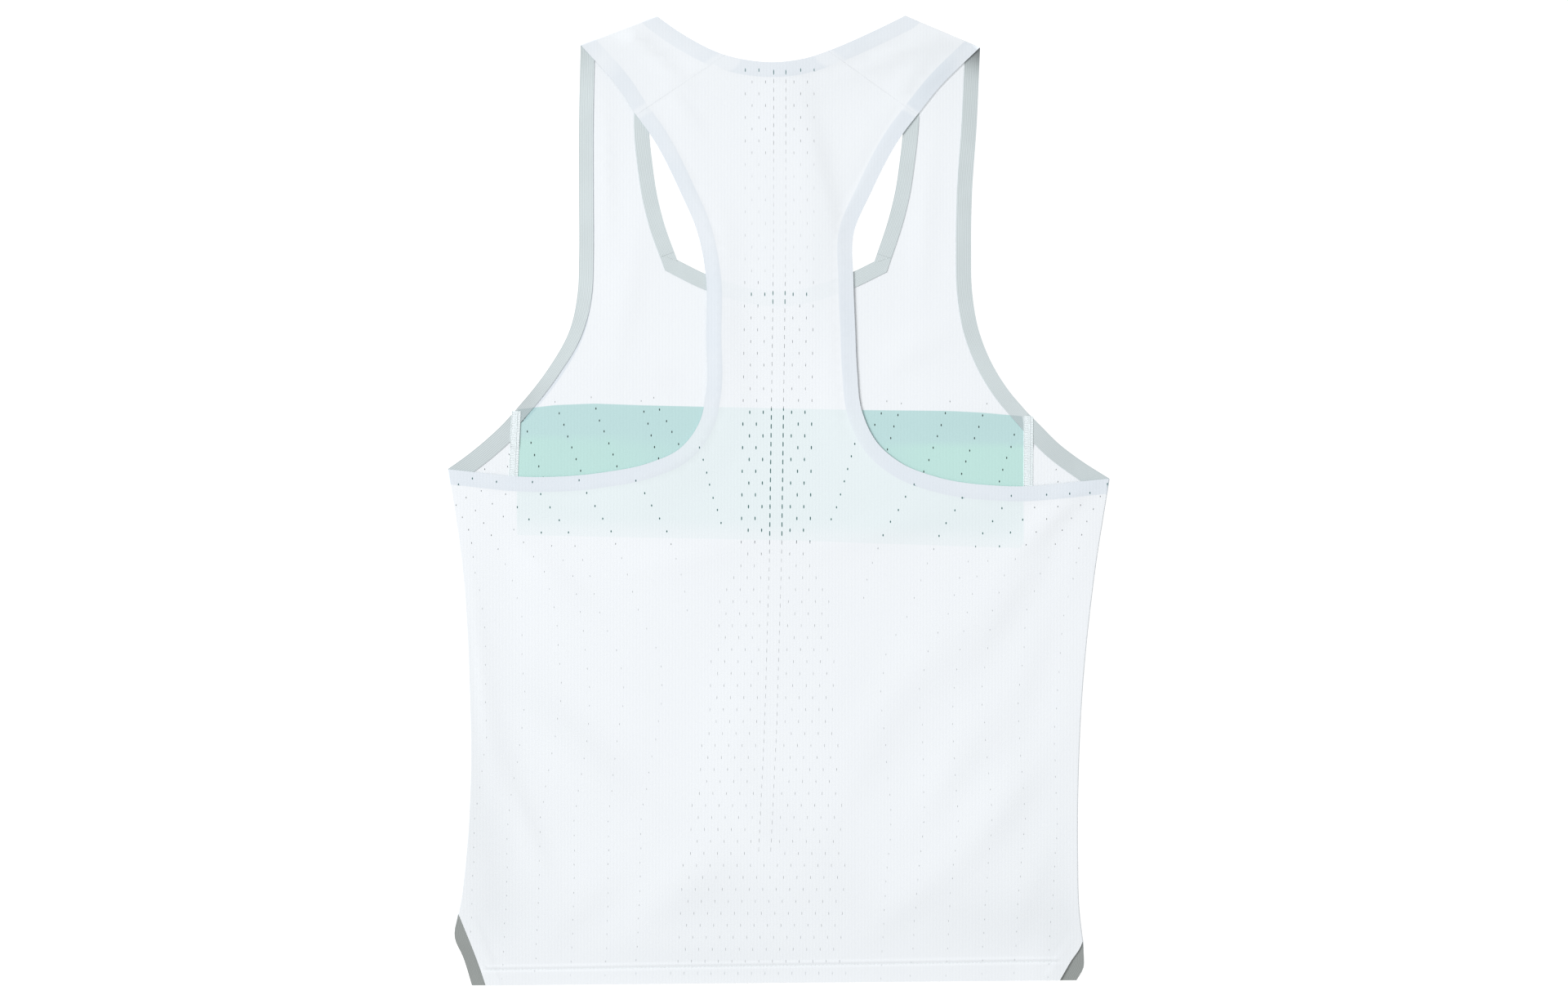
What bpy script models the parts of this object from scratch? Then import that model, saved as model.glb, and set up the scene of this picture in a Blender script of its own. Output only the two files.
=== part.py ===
"""A running singlet with a racer back, laid flat on its front with its back up.

Lengths are in millimetres until a mesh is made. +X is to the right as seen from above, +Y runs from the
hem to the neck and +Z points up. The front and the two wings of the back lie flat on the surface, inner
side up; the back lies on them. Each panel is drawn flat, in cut coordinates, then folded into place.
"""

import math
from collections import namedtuple

import bpy
import numpy as np
from mathutils import Vector
from mathutils.geometry import delaunay_2d_cdt

MM = 0.001

# Cloth and tape
WALL = 1.0  # thickness of every wall
GAP = 0.3  # between pieces that touch or are sewn together
LAYER = WALL + GAP
TAPE_WIDTH = 11.0

# Heights of the middle of a wall above the surface
FRONT_Z = WALL / 2
BACK_Z = FRONT_Z + 2 * LAYER  # the back where it lies on the front and one tape
EDGE_Z = FRONT_Z + 3 * LAYER  # the back along its taped and folded edges
SETTLE = 28.0  # how far the back takes to come down from an edge
FOLD_RADIUS = (EDGE_Z - FRONT_Z) / 2
FOLD_REACH = FOLD_RADIUS + WALL / 2
FOLD_ARC = math.pi * FOLD_RADIUS
FOLD_STEPS = 4

# Tape joints
NECK_JOINT = 6.0  # above each corner of the front neckline
VENT_START = 1.5  # below the apex of each vent

# Facets
EDGE_STEP = 10.0  # between points along an edge
FOLD_STEP = 14.0  # between points along a fold
FRONT_GRID = 26.0
BACK_GRID = 17.0
GRID_CLEARANCE = 0.55  # share of a grid's spacing that stays free beside an edge
FIELD_STEP = 4.0  # between points of the lines that heights are measured from
WELD = 0.05  # points nearer than this become one
SAME_CORNER = 0.5  # two edges that end nearer than this share a corner

# Every outline point is measured from the middle of the garment. Left is -X.
Pair = namedtuple("Pair", "left_x left_y right_x right_y")
Place = namedtuple("Place", "x y")
Section = namedtuple("Section", "y left right")
Lift = namedtuple("Lift", "x y angle length width height")

# Edge of the back's armhole, from the outer end of the shoulder fold to the underarm point
BACK_ARMHOLE = (
    Pair(-145.2, 334.4, 148.2, 332.6),
    Pair(-116.4, 301.4, 116.7, 301.4),
    Pair(-104.4, 282.8, 102.0, 282.8),  # the shoulder seam meets the armhole here
    Pair(-95.1, 270.2, 91.8, 269.6),
    Pair(-70.8, 224.6, 66.0, 224.6),
    Pair(-58.2, 199.4, 55.5, 197.0),
    Pair(-52.8, 160.4, 55.2, 160.4),
    Pair(-52.8, 121.4, 56.4, 127.4),
    Pair(-52.8, 80.6, 57.9, 94.4),
    Pair(-58.2, 56.6, 61.2, 66.2),
    Pair(-72.6, 37.7, 73.2, 41.6),
    Pair(-93.6, 27.8, 89.4, 27.8),
    Pair(-127.2, 20.6, 116.7, 17.0),
    Pair(-175.8, 17.0, 166.2, 10.4),
    Pair(-243.0, 22.7, 243.4, 15.8),
)
SEAM_ROW = 2  # the row of BACK_ARMHOLE at the shoulder seam

# Edge of the front's armhole, from the outer end of the shoulder fold to the side seam
FRONT_ARMHOLE = (
    Pair(-145.2, 334.4, 148.2, 332.6),
    Pair(-146.4, 277.4, 145.8, 277.4),
    Pair(-146.4, 223.4, 142.2, 223.4),
    Pair(-146.4, 177.2, 141.6, 185.0),
    Pair(-147.3, 153.2, 142.5, 151.4),
    Pair(-153.0, 125.6, 147.0, 125.6),
    Pair(-167.4, 97.4, 158.7, 98.0),
    Pair(-180.3, 80.0, 169.8, 80.6),
    Pair(-192.0, 67.4, 182.7, 64.7),
)

# Edge of each wing, from the underarm point to the side seam
WING_EDGE = (
    Pair(-243.0, 22.7, 243.4, 15.8),
    Pair(-226.8, 34.4, 222.6, 29.0),
    Pair(-212.4, 46.4, 204.6, 42.8),
    Pair(-202.8, 55.4, 193.8, 53.6),
    Pair(-192.0, 67.4, 182.7, 64.7),
)

# Neck edge of each front strap, from the inner end of the shoulder fold to the corner of the neckline
NECK_SIDE = (
    Pair(-89.4, 355.4, 93.4, 355.8),
    Pair(-93.6, 307.4, 93.3, 310.4),
    Pair(-94.8, 270.2, 91.8, 268.4),
    Pair(-92.7, 248.6, 90.3, 250.4),
    Pair(-88.8, 222.8, 87.0, 228.2),
    Pair(-84.0, 203.6, 81.6, 209.0),
    Pair(-74.4, 176.6, 70.6, 175.4),
)

# Middle of the front neckline, from corner to corner
NECK_CENTRE = (
    Place(-74.4, 176.6),
    Place(-52.5, 165.8),
    Place(0.0, 153.2),
    Place(52.0, 166.4),
    Place(70.6, 175.4),
)

# Back of the neck, from fold to fold
NECK_BACK = (
    Place(-89.4, 355.4),
    Place(-70.8, 342.5),
    Place(-39.0, 326.9),  # left shoulder seam
    Place(-22.8, 323.2),
    Place(-3.6, 321.6),
    Place(23.4, 325.4),
    Place(36.6, 329.9),  # right shoulder seam
    Place(68.4, 343.6),
    Place(93.4, 355.8),
)
SEAM_PLACES = (2, 6)  # the rows of NECK_BACK at the shoulder seams

# How far each side fold reaches from the middle line. The first row is above the underarm and the last
# two are below the vents, where there is no cloth on the fold.
SIDE_FOLD = (
    Section(73.4, 251.4, 251.4),
    Section(19.4, 242.4, 243.9),
    Section(-52.6, 232.1, 232.7),
    Section(-136.6, 227.2, 223.8),
    Section(-202.6, 226.4, 220.6),
    Section(-262.6, 229.8, 220.2),
    Section(-302.8, 235.2, 221.4),
    Section(-322.6, 240.6, 223.8),
    Section(-356.0, 241.0, 229.0),
)

# Cut edges of the side vents, from the apex to the hem, on the back and on the front
VENT_BACK = (
    Pair(-235.2, -302.8, 223.8, -322.6),
    Pair(-227.4, -322.0, 222.0, -327.8),
    Pair(-220.8, -338.8, 215.4, -337.6),
    Pair(-214.8, -355.5, 206.7, -352.0),
)
VENT_FRONT = (
    Pair(-235.2, -302.8, 223.8, -322.6),
    Pair(-237.6, -321.4, 224.4, -334.0),
    Pair(-231.6, -335.2, 224.2, -343.0),
    Pair(-225.0, -355.6, 219.0, -352.1),
)

SIDE_SEAM = (-192.0, 182.7)  # x of the side seams, which run straight down to the hem
HEM_LEFT = Place(-214.8, -355.5)
HEM_SLOPE = 3.5 / 421.5  # the hem rises a little from left to right

# Soft folds of the back: middle, direction in degrees, half length, half width and height
LIFTS = (
    Lift(35, 208, 96, 75, 9, 2.0),  # beside the middle of the racer back
    Lift(-41, 133, 90, 60, 9, 1.2),  # along its left edge
    Lift(48, 142, 90, 55, 9, 1.6),  # along its right edge
    Lift(-94, 325, -40, 16, 6, 1.0),  # left shoulder
    Lift(-110, -14, -17, 40, 12, 1.6),  # under the left armhole
    Lift(-212, -130, -84, 90, 12, 1.4),  # down the left side
    Lift(-150, -165, -50, 65, 22, 2.2),
    Lift(115, -95, 75, 90, 30, 2.6),
    Lift(158, -240, 63, 50, 20, 2.0),
    Lift(-60, -290, 20, 60, 22, 1.6),
)

CLOTH_COLOUR, CLOTH_ROUGHNESS = (0.88, 0.91, 0.95), 0.8
TAPE_COLOUR, TAPE_ROUGHNESS = (0.60, 0.67, 0.68), 0.6

SIDES = (-1, 1)
SIDE_NAMES = {-1: "left", 1: "right"}


def smooth(t):
    """0 up to 0, 1 from 1 and an even slope between."""
    t = np.clip(t, 0.0, 1.0)
    return t * t * (3 - 2 * t)


def curve(points, step):
    """Points at most step apart on a smooth curve through the given ones, which it keeps."""
    p = np.asarray(points, float)
    chord = np.linalg.norm(np.diff(p, axis=0), axis=1)
    slope = np.diff(p, axis=0) / chord[:, None]
    tangent = np.empty_like(p)
    tangent[0], tangent[-1] = slope[0], slope[-1]
    before, after = chord[:-1, None], chord[1:, None]
    tangent[1:-1] = (slope[:-1] * after + slope[1:] * before) / (before + after)
    out = [p[:1]]
    for i, length in enumerate(chord):
        t = np.linspace(0, 1, max(1, math.ceil(length / step)) + 1)[1:, None]
        out.append(
            (2 * t**3 - 3 * t**2 + 1) * p[i]
            + (t**3 - 2 * t**2 + t) * length * tangent[i]
            + (3 * t**2 - 2 * t**3) * p[i + 1]
            + (t**3 - t**2) * length * tangent[i + 1]
        )
    return np.concatenate(out)


def on_side(table, side):
    """One side's columns of a table of pairs, as points."""
    start = 0 if side < 0 else 2
    return np.array([row[start : start + 2] for row in table], float)


def hem_y(x):
    return HEM_LEFT.y + (np.asarray(x) - HEM_LEFT.x) * HEM_SLOPE


class ShoulderFold:
    """The fold where a strap of the front turns over on to the back."""

    def __init__(self, side):
        self.side = side
        tip = on_side(BACK_ARMHOLE, side)[0]
        neck = on_side(NECK_SIDE, side)[0]
        self.along = (neck - tip) / np.linalg.norm(neck - tip)
        self.out = np.array([self.along[1], -self.along[0]]) * side
        self.start = tip - self.out * FOLD_REACH
        self.length = np.linalg.norm(neck - tip)

    def beyond(self, points):
        """How far points lie past the fold's middle line, and whether they are on this side."""
        return (points - self.start) @ self.out, points[:, 0] * self.side > 0

    def to_cut(self, points):
        """Cut coordinates of points on the part of the strap that lies on the back."""
        past = (points - self.start) @ self.out
        bend = np.arcsin(np.clip(past / FOLD_RADIUS, 0, 1)) * FOLD_RADIUS
        target = FOLD_ARC - np.where(past < 0, past, bend)
        return points + np.outer(target - past, self.out)

    def row(self, turn):
        """A line across the strap at one angle of the fold, in cut coordinates."""
        steps = np.linspace(-0.2, 1.2, 2 + math.ceil(self.length / FOLD_STEP))
        line = self.start + np.outer(steps * self.length, self.along)
        return line + self.out * FOLD_RADIUS * turn


SHOULDERS = {side: ShoulderFold(side) for side in SIDES}
FOLD_CURVES = {
    side: curve([(row.y, row.left if side < 0 else row.right) for row in SIDE_FOLD], FIELD_STEP)
    for side in SIDES
}


def fold_middle(y, side):
    """Distance of a side fold's middle line from the garment's middle line, at height y."""
    table = FOLD_CURVES[side][::-1]
    return np.interp(y, table[:, 0], table[:, 1]) - FOLD_REACH


def wrap_to_cut(points, side, wing):
    """Cut coordinates of points of the back near a side fold, on the back itself or on the wing."""
    x, y = np.abs(points[:, 0]), points[:, 1]
    middle = fold_middle(y, side)
    past = x - middle
    bend = np.where(past < 0, past, np.arcsin(np.clip(past / FOLD_RADIUS, 0, 1)) * FOLD_RADIUS)
    cut = middle + (FOLD_ARC - bend if wing else bend)
    return np.column_stack([cut * side, y])


def side_fold_row(side, turn):
    """A line down a side fold at one angle of the fold, in cut coordinates."""
    y = np.arange(SIDE_FOLD[0].y, SIDE_FOLD[-1].y, -FOLD_STEP)
    return np.column_stack([side * (fold_middle(y, side) + FOLD_RADIUS * turn), y])


def nearest(points, line):
    """Distance of each point from the nearest point of a line."""
    best = np.full(len(points), np.inf)
    for spot in line:
        best = np.minimum(best, np.hypot(*(points - spot).T))
    return best


def raised_edges():
    """Points along every edge of the back, where tape or a fold holds it up."""
    lines = [curve(NECK_BACK, FIELD_STEP)]
    for side in SIDES:
        fold = FOLD_CURVES[side]
        lines.append(curve(on_side(BACK_ARMHOLE, side), FIELD_STEP))
        lines.append(np.column_stack([side * fold[:, 1], fold[:, 0]]))
        lines.append(curve(on_side(VENT_BACK, side), FIELD_STEP))
    return np.concatenate(lines)


def fold_lines():
    """Points along the shoulder folds and the side folds."""
    lines = []
    for side in SIDES:
        ends = np.array([on_side(BACK_ARMHOLE, side)[0], on_side(NECK_SIDE, side)[0]])
        fold = FOLD_CURVES[side]
        lines.append(curve(ends, FIELD_STEP))
        lines.append(np.column_stack([side * fold[:, 1], fold[:, 0]]))
    return np.concatenate(lines)


EDGES, FOLDS = raised_edges(), fold_lines()


def back_height(x, y):
    """Height of the middle of the back's wall."""
    points = np.column_stack([x, y])
    height = EDGE_Z - (EDGE_Z - BACK_Z) * smooth((nearest(points, EDGES) - TAPE_WIDTH) / SETTLE)
    lift = np.zeros(len(points))
    for fold in LIFTS:
        turn = math.radians(fold.angle)
        dx, dy = x - fold.x, y - fold.y
        along = (dx * math.cos(turn) + dy * math.sin(turn)) / fold.length
        across = (dy * math.cos(turn) - dx * math.sin(turn)) / fold.width
        lift += fold.height * np.exp(-(along**2) - across**2)
    return height + lift * smooth(nearest(points, FOLDS) / SETTLE)


def place_front(cut):
    """Where points of the front's wall lie: flat, then over the shoulder folds on to the back."""
    x, y = cut.T.copy()
    z = np.full(len(cut), FRONT_Z)
    for fold in SHOULDERS.values():
        past, here = fold.beyond(cut)
        angle = np.clip(past / FOLD_RADIUS, 0, math.pi)
        bent = here & (past > 0)
        reach = FOLD_RADIUS * np.sin(angle) - np.maximum(past - FOLD_ARC, 0)
        moved = cut + np.outer(reach - past, fold.out)
        x, y = np.where(bent, moved[:, 0], x), np.where(bent, moved[:, 1], y)
        over = here & (past >= FOLD_ARC)
        z = np.where(bent, FRONT_Z + FOLD_RADIUS * (1 - np.cos(angle)), z)
        if over.any():
            z[over] = back_height(x[over], y[over])
    return np.column_stack([x, y, z])


def place_back(cut):
    """Where points of the back's wall lie: on the front, then round the side folds as flat wings."""
    x, y = cut.T.copy()
    z = np.full(len(cut), FRONT_Z)
    for side in SIDES:
        here = x * side > 0 if side > 0 else x * side >= 0
        middle = fold_middle(y, side)
        past = np.abs(x) - middle
        angle = np.clip(past / FOLD_RADIUS, 0, math.pi)
        reach = middle + FOLD_RADIUS * np.sin(angle) - np.maximum(past - FOLD_ARC, 0)
        bent = here & (past > 0)
        x = np.where(bent, side * reach, x)
        z = np.where(bent, FRONT_Z + FOLD_RADIUS * (1 + np.cos(angle)), z)
        flat = here & (past <= 0)
        z[flat] = back_height(x[flat], y[flat])
    return np.column_stack([x, y, z])


def inside(points, loop):
    """Which points lie inside a closed outline."""
    x, y = points.T
    result = np.zeros(len(points), bool)
    for (x0, y0), (x1, y1) in zip(loop, np.roll(loop, -1, axis=0)):
        if y0 != y1:
            crosses = (y0 > y) != (y1 > y)
            result ^= crosses & (x < (x1 - x0) * (y - y0) / (y1 - y0) + x0)
    return result


def grid(loop, spacing, lines):
    """Staggered points inside a loop, clear of it and of the lines."""
    low, high = loop.min(axis=0), loop.max(axis=0)
    rows = []
    for row, y in enumerate(np.arange(low[1], high[1], spacing * math.sqrt(0.75))):
        x = np.arange(low[0] + (row % 2) * spacing / 2, high[0], spacing)
        rows.append(np.column_stack([x, np.full(len(x), y)]))
    points = np.concatenate(rows)
    points = points[inside(points, loop)]
    for line in (loop, *lines):
        points = points[nearest(points, line) > spacing * GRID_CLEARANCE]
    return points


def triangulate(loop, lines=(), loose=()):
    """Triangles that fill a loop, with edges along the lines."""
    points, edges = list(loop), [(i, (i + 1) % len(loop)) for i in range(len(loop))]
    for line in lines:
        first = len(points)
        points.extend(line)
        edges.extend((i, i + 1) for i in range(first, len(points) - 1))
    points.extend(loose)
    flat = [Vector((float(x), float(y))) for x, y in points]
    result = delaunay_2d_cdt(flat, edges, [], 0, WELD, False)
    spots, faces = np.array([tuple(v) for v in result[0]]), np.array(result[2])
    kept = inside(spots[faces].mean(axis=1), loop)
    faces = faces[kept]
    a, b, c = (spots[faces[:, k]] for k in range(3))
    turn = (b[:, 0] - a[:, 0]) * (c[:, 1] - a[:, 1]) - (b[:, 1] - a[:, 1]) * (c[:, 0] - a[:, 0])
    faces[turn < 0] = faces[turn < 0][:, ::-1]
    used, renumbered = np.unique(faces, return_inverse=True)
    return spots[used], renumbered.reshape(faces.shape)


def make_wall(name, spots, faces, place, offset, material):
    """An object: the filled loop folded into place, offset along its normal and given its thickness."""
    probe = 0.01
    middle = place(spots)
    slope_x = place(spots + (probe, 0)) - place(spots - (probe, 0))
    slope_y = place(spots + (0, probe)) - place(spots - (0, probe))
    normal = np.cross(slope_x, slope_y)
    normal /= np.linalg.norm(normal, axis=1)[:, None]
    count = len(spots)
    upper = middle + normal * (offset + WALL / 2)
    lower = middle + normal * (offset - WALL / 2)
    polygons = [tuple(face) for face in faces]
    polygons += [tuple(face[::-1] + count) for face in faces]
    directed = {(a, b) for face in faces for a, b in zip(face, np.roll(face, -1))}
    for a, b in directed:
        if (b, a) not in directed:
            polygons += [(b, a, a + count), (b, a + count, b + count)]
    mesh = bpy.data.meshes.new(name)
    points = np.concatenate([upper, lower]) * MM
    mesh.from_pydata(points.tolist(), [], [tuple(int(i) for i in face) for face in polygons])
    mesh.materials.append(material)
    mesh.shade_smooth()
    mesh.set_sharp_from_angle(angle=math.radians(40))
    thing = bpy.data.objects.new(name, mesh)
    bpy.context.collection.objects.link(thing)
    return thing


def trimmed(line, amount):
    """A line with its last point drawn back."""
    step = line[-2] - line[-1]
    line = line.copy()
    line[-1] += step / np.linalg.norm(step) * amount
    return line


def beside(line, width):
    """A line beside a line, to its left, with mitred corners."""
    step = np.diff(line, axis=0)
    step /= np.linalg.norm(step, axis=1)[:, None]
    left = np.column_stack([-step[:, 1], step[:, 0]])
    first, last = np.vstack([left[:1], left]), np.vstack([left, left[-1:]])
    mitre = first + last
    mitre /= (mitre * first).sum(axis=1)[:, None]
    return line + mitre * width


def met(line, corner, toward):
    """A line cut off, or carried on, where it meets the straight line through two points."""
    direction = toward - corner
    across = np.array([-direction[1], direction[0]])
    height = (line - corner) @ across
    crossing = np.nonzero(np.sign(height[1:]) != np.sign(height[:-1]))[0]
    last = crossing[0] if len(crossing) else len(line) - 2
    a, b = line[last], line[last + 1]
    share = height[last] / (height[last] - height[last + 1])
    return np.vstack([line[: last + 1], a + (b - a) * share])


def strip(edge, turn, start, end):
    """A tape's outline: an edge, and a line beside it cut off at the straight lines at its two ends."""
    line = met(beside(edge, TAPE_WIDTH * turn), *end)
    line = met(line[::-1], *start)
    return np.vstack([edge, line]), line


def cloth(name, colour, roughness):
    material = bpy.data.materials.new(name)
    material.use_nodes = True
    shader = material.node_tree.nodes["Principled BSDF"]
    shader.inputs["Base Color"].default_value = (*colour, 1)
    shader.inputs["Roughness"].default_value = roughness
    shader.inputs["Metallic"].default_value = 0.0
    return material


def split_at(line, place):
    """The two parts of a line on each side of one of its points."""
    at = int(np.argmin(np.hypot(*(line - place).T)))
    return line[: at + 1], line[at:]


def draw_edges():
    """Every edge in cut coordinates, each named for its side, running as its table does."""
    edges = {}
    neck_back = curve(NECK_BACK, EDGE_STEP)
    left_strap, rest = split_at(neck_back, NECK_BACK[SEAM_PLACES[0]])
    middle, right_strap = split_at(rest, NECK_BACK[SEAM_PLACES[1]])
    edges["neck_back"] = trimmed(trimmed(middle, GAP / 2)[::-1], GAP / 2)[::-1]
    strap_necks = {-1: left_strap, 1: right_strap[::-1]}
    for side in SIDES:
        fold, name = SHOULDERS[side], SIDE_NAMES[side]
        armhole = on_side(BACK_ARMHOLE, side)
        over, down = split_at(curve(armhole, EDGE_STEP), armhole[SEAM_ROW])
        over = fold.to_cut(trimmed(over, GAP / 2))[::-1]
        front = curve(on_side(FRONT_ARMHOLE, side), EDGE_STEP)
        front = met(front, *upright(side, -GAP / 2))
        edges["front_armhole_" + name] = np.vstack([over, front[1:]])
        over = fold.to_cut(trimmed(strap_necks[side], GAP / 2))[::-1]
        neck = curve(on_side(NECK_SIDE, side), EDGE_STEP)
        edges["neck_side_" + name] = np.vstack([over, neck[1:]])
        down = wrap_to_cut(trimmed(down[::-1], GAP / 2)[::-1], side, wing=False)
        wing = met(curve(on_side(WING_EDGE, side), EDGE_STEP), *upright(side, GAP / 2))
        wing = wrap_to_cut(wing, side, wing=True)
        edges["back_armhole_" + name] = np.vstack([down, wing[1:]])
        vent = curve(on_side(VENT_BACK, side), EDGE_STEP)
        edges["vent_back_" + name] = wrap_to_cut(vent, side, wing=False)
        vent = curve(on_side(VENT_FRONT, side), EDGE_STEP)
        edges["vent_front_" + name] = wrap_to_cut(vent, side, wing=True)
        seam = seam_line(side, -GAP / 2, front[-1][1])
        edges["front_seam_" + name] = seam
        seam = seam_line(side, GAP / 2, wing[-1][1])
        edges["wing_seam_" + name] = wrap_to_cut(seam, side, wing=True)
        hem = hem_line(seam[-1][0], on_side(VENT_FRONT, side)[-1][0])
        edges["wing_hem_" + name] = wrap_to_cut(hem, side, wing=True)
    edges["neck_centre"] = curve(NECK_CENTRE, EDGE_STEP)
    edges["back_hem"] = hem_line(VENT_BACK[-1].left_x, VENT_BACK[-1].right_x)
    edges["front_hem"] = hem_line(*(edges[f"front_seam_{name}"][-1][0] for name in ("left", "right")))
    return edges


def upright(side, out):
    """Two points on a side seam, moved out from the middle of the garment."""
    x = SIDE_SEAM[side > 0] + side * out
    return np.array([x, 0.0]), np.array([x, 1.0])


def seam_line(side, out, top):
    """A side seam's edge in plan, from the armhole down to the hem."""
    x = upright(side, out)[0][0]
    return curve([(x, top), (x, hem_y(x))], FOLD_STEP)


def hem_line(start, end):
    return curve([(start, hem_y(start)), (end, hem_y(end))], FOLD_STEP)


def joint(edge, back):
    """The two parts of an edge split at a distance from its end, a gap apart, and a line across each."""
    length = np.concatenate([[0], np.cumsum(np.linalg.norm(np.diff(edge, axis=0), axis=1))])
    cuts = (length[-1] - back - GAP / 2, length[-1] - back + GAP / 2)
    before, after = (np.array([np.interp(at, length, edge[:, k]) for k in (0, 1)]) for at in cuts)
    across = np.array([before[1] - after[1], after[0] - before[0]])
    upper = np.vstack([edge[length < cuts[0]], before])
    lower = np.vstack([after, edge[length > cuts[1]]])
    return upper, lower, (before, before + across), (after, after + across)


def draw_tapes(edges):
    """For each tape: its edge, which side of that edge it lies on, the lines at its ends and its panel."""
    tapes, corners, shoulder = {}, {}, {}
    for side, name in SIDE_NAMES.items():
        armhole, neck = edges["front_armhole_" + name], edges["neck_side_" + name]
        seam = (armhole[0], neck[0])
        tapes["armhole_tape_front_" + name] = armhole, -side, seam, upright(side, -GAP / 2), "front"
        upper, lower, end, start = joint(neck, NECK_JOINT)
        tapes["neck_tape_front_" + name] = upper, side, seam, end, "front"
        corners[side] = lower, start
        armhole = edges["back_armhole_" + name]
        shoulder[side] = armhole[0], edges["neck_back"][0 if side < 0 else -1]
        wing_seam = edges["wing_seam_" + name][:2]
        tapes["armhole_tape_back_" + name] = armhole, -side, shoulder[side], wing_seam, "back"
        hem = edges["back_hem"][:2] if side < 0 else edges["back_hem"][-2:]
        vent, _, start, _ = joint(edges["vent_back_" + name][::-1], VENT_START)
        tapes[f"vent_tape_{name}_back"] = vent[::-1], -side, start, hem, "back"
        hem = edges["wing_hem_" + name][-2:]
        vent, _, start, _ = joint(edges["vent_front_" + name][::-1], VENT_START)
        tapes[f"vent_tape_{name}_front"] = vent[::-1], side, start, hem, "back"
    centre = np.vstack([corners[-1][0], edges["neck_centre"][1:-1], corners[1][0][::-1]])
    tapes["neck_tape_front_centre"] = centre, -1, corners[-1][1], corners[1][1], "front"
    tapes["neck_tape_back"] = edges["neck_back"], -1, shoulder[-1], shoulder[1], "back"
    return tapes


def joined(*lines):
    """One outline from edges that follow each other, each shared corner kept once."""
    parts = []
    for line, after in zip(lines, (*lines[1:], lines[0])):
        shared = np.linalg.norm(line[-1] - after[0]) < SAME_CORNER
        parts.append(line[:-1] if shared else line)
    return np.vstack(parts)


def panel_outlines(edges):
    left, right = ({part[: -len(name) - 1]: line for part, line in edges.items() if part.endswith(name)}
                   for name in SIDE_NAMES.values())
    front = joined(
        left["front_armhole"], left["front_seam"], edges["front_hem"], right["front_seam"][::-1],
        right["front_armhole"][::-1], right["neck_side"], edges["neck_centre"][::-1],
        left["neck_side"][::-1],
    )
    back = joined(
        edges["neck_back"], right["back_armhole"], right["wing_seam"], right["wing_hem"],
        right["vent_front"][::-1], right["vent_back"], edges["back_hem"][::-1], left["vent_back"][::-1],
        left["vent_front"], left["wing_hem"][::-1], left["wing_seam"][::-1], left["back_armhole"][::-1],
    )
    return {"front": front, "back": back}


def centre_on_origin(things):
    """Moves every mesh so that the middle of the garment's box stands over the origin."""
    spots = np.array([point.co for thing in things for point in thing.data.vertices])
    middle = (spots.min(axis=0) + spots.max(axis=0)) / 2
    for thing in things:
        for point in thing.data.vertices:
            point.co.x -= middle[0]
            point.co.y -= middle[1]


def main():
    for thing in list(bpy.data.objects):
        bpy.data.objects.remove(thing, do_unlink=True)
    white = cloth("cloth", CLOTH_COLOUR, CLOTH_ROUGHNESS)
    grey = cloth("tape", TAPE_COLOUR, TAPE_ROUGHNESS)
    places = {"front": place_front, "back": place_back}
    turns = [math.pi * step / FOLD_STEPS for step in range(FOLD_STEPS + 1)]
    folds = {
        "front": [SHOULDERS[side].row(turn) for side in SIDES for turn in turns],
        "back": [side_fold_row(side, turn) for side in SIDES for turn in turns],
    }
    inner_side = {"front": LAYER, "back": -LAYER}
    grids = {"front": FRONT_GRID, "back": BACK_GRID}
    edges = draw_edges()
    things, inner_lines = [], {"front": [], "back": []}
    for name, (edge, turn, start, end, panel) in draw_tapes(edges).items():
        loop, line = strip(edge, turn, start, end)
        inner_lines[panel].append(line)
        spots, faces = triangulate(loop, folds[panel])
        things.append(make_wall(name, spots, faces, places[panel], inner_side[panel], grey))
    for panel, loop in panel_outlines(edges).items():
        lines = folds[panel] + inner_lines[panel]
        spots, faces = triangulate(loop, lines, grid(loop, grids[panel], lines))
        things.append(make_wall(panel + "_panel", spots, faces, places[panel], 0.0, white))
    centre_on_origin(things)


main()
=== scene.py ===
"""The look of a running singlet that lies flat on its front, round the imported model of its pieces.

Lengths are in millimetres until a mesh is made. +X is to the right as seen from above, +Y runs from the hem
to the neck and +Z points up. Each panel is drawn flat, in cut coordinates, as on the cutting table, gets its
perforations there, and is then folded into place.
"""

import math
from collections import namedtuple

import bpy
import numpy as np
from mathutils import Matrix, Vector, kdtree
from mathutils.geometry import delaunay_2d_cdt


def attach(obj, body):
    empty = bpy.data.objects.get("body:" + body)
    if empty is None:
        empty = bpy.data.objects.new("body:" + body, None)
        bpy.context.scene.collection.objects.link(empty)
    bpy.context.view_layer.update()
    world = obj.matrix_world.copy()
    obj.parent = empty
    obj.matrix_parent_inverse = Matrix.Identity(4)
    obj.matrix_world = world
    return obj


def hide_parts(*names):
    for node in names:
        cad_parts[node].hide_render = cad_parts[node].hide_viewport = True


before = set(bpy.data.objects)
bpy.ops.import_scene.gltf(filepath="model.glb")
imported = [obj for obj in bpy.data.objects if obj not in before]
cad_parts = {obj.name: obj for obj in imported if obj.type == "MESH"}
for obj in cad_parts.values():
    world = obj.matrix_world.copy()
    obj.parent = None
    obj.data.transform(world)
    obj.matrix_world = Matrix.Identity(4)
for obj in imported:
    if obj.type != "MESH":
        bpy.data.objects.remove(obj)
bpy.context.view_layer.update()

MM = 0.001
SHIFT = (-0.223, -0.1)  # from the middle that the tables are measured from to the middle of the frame's box

# Cloth and tape
CLOTH = 0.5
TAPE = 0.3
GAP = 0.1
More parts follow.
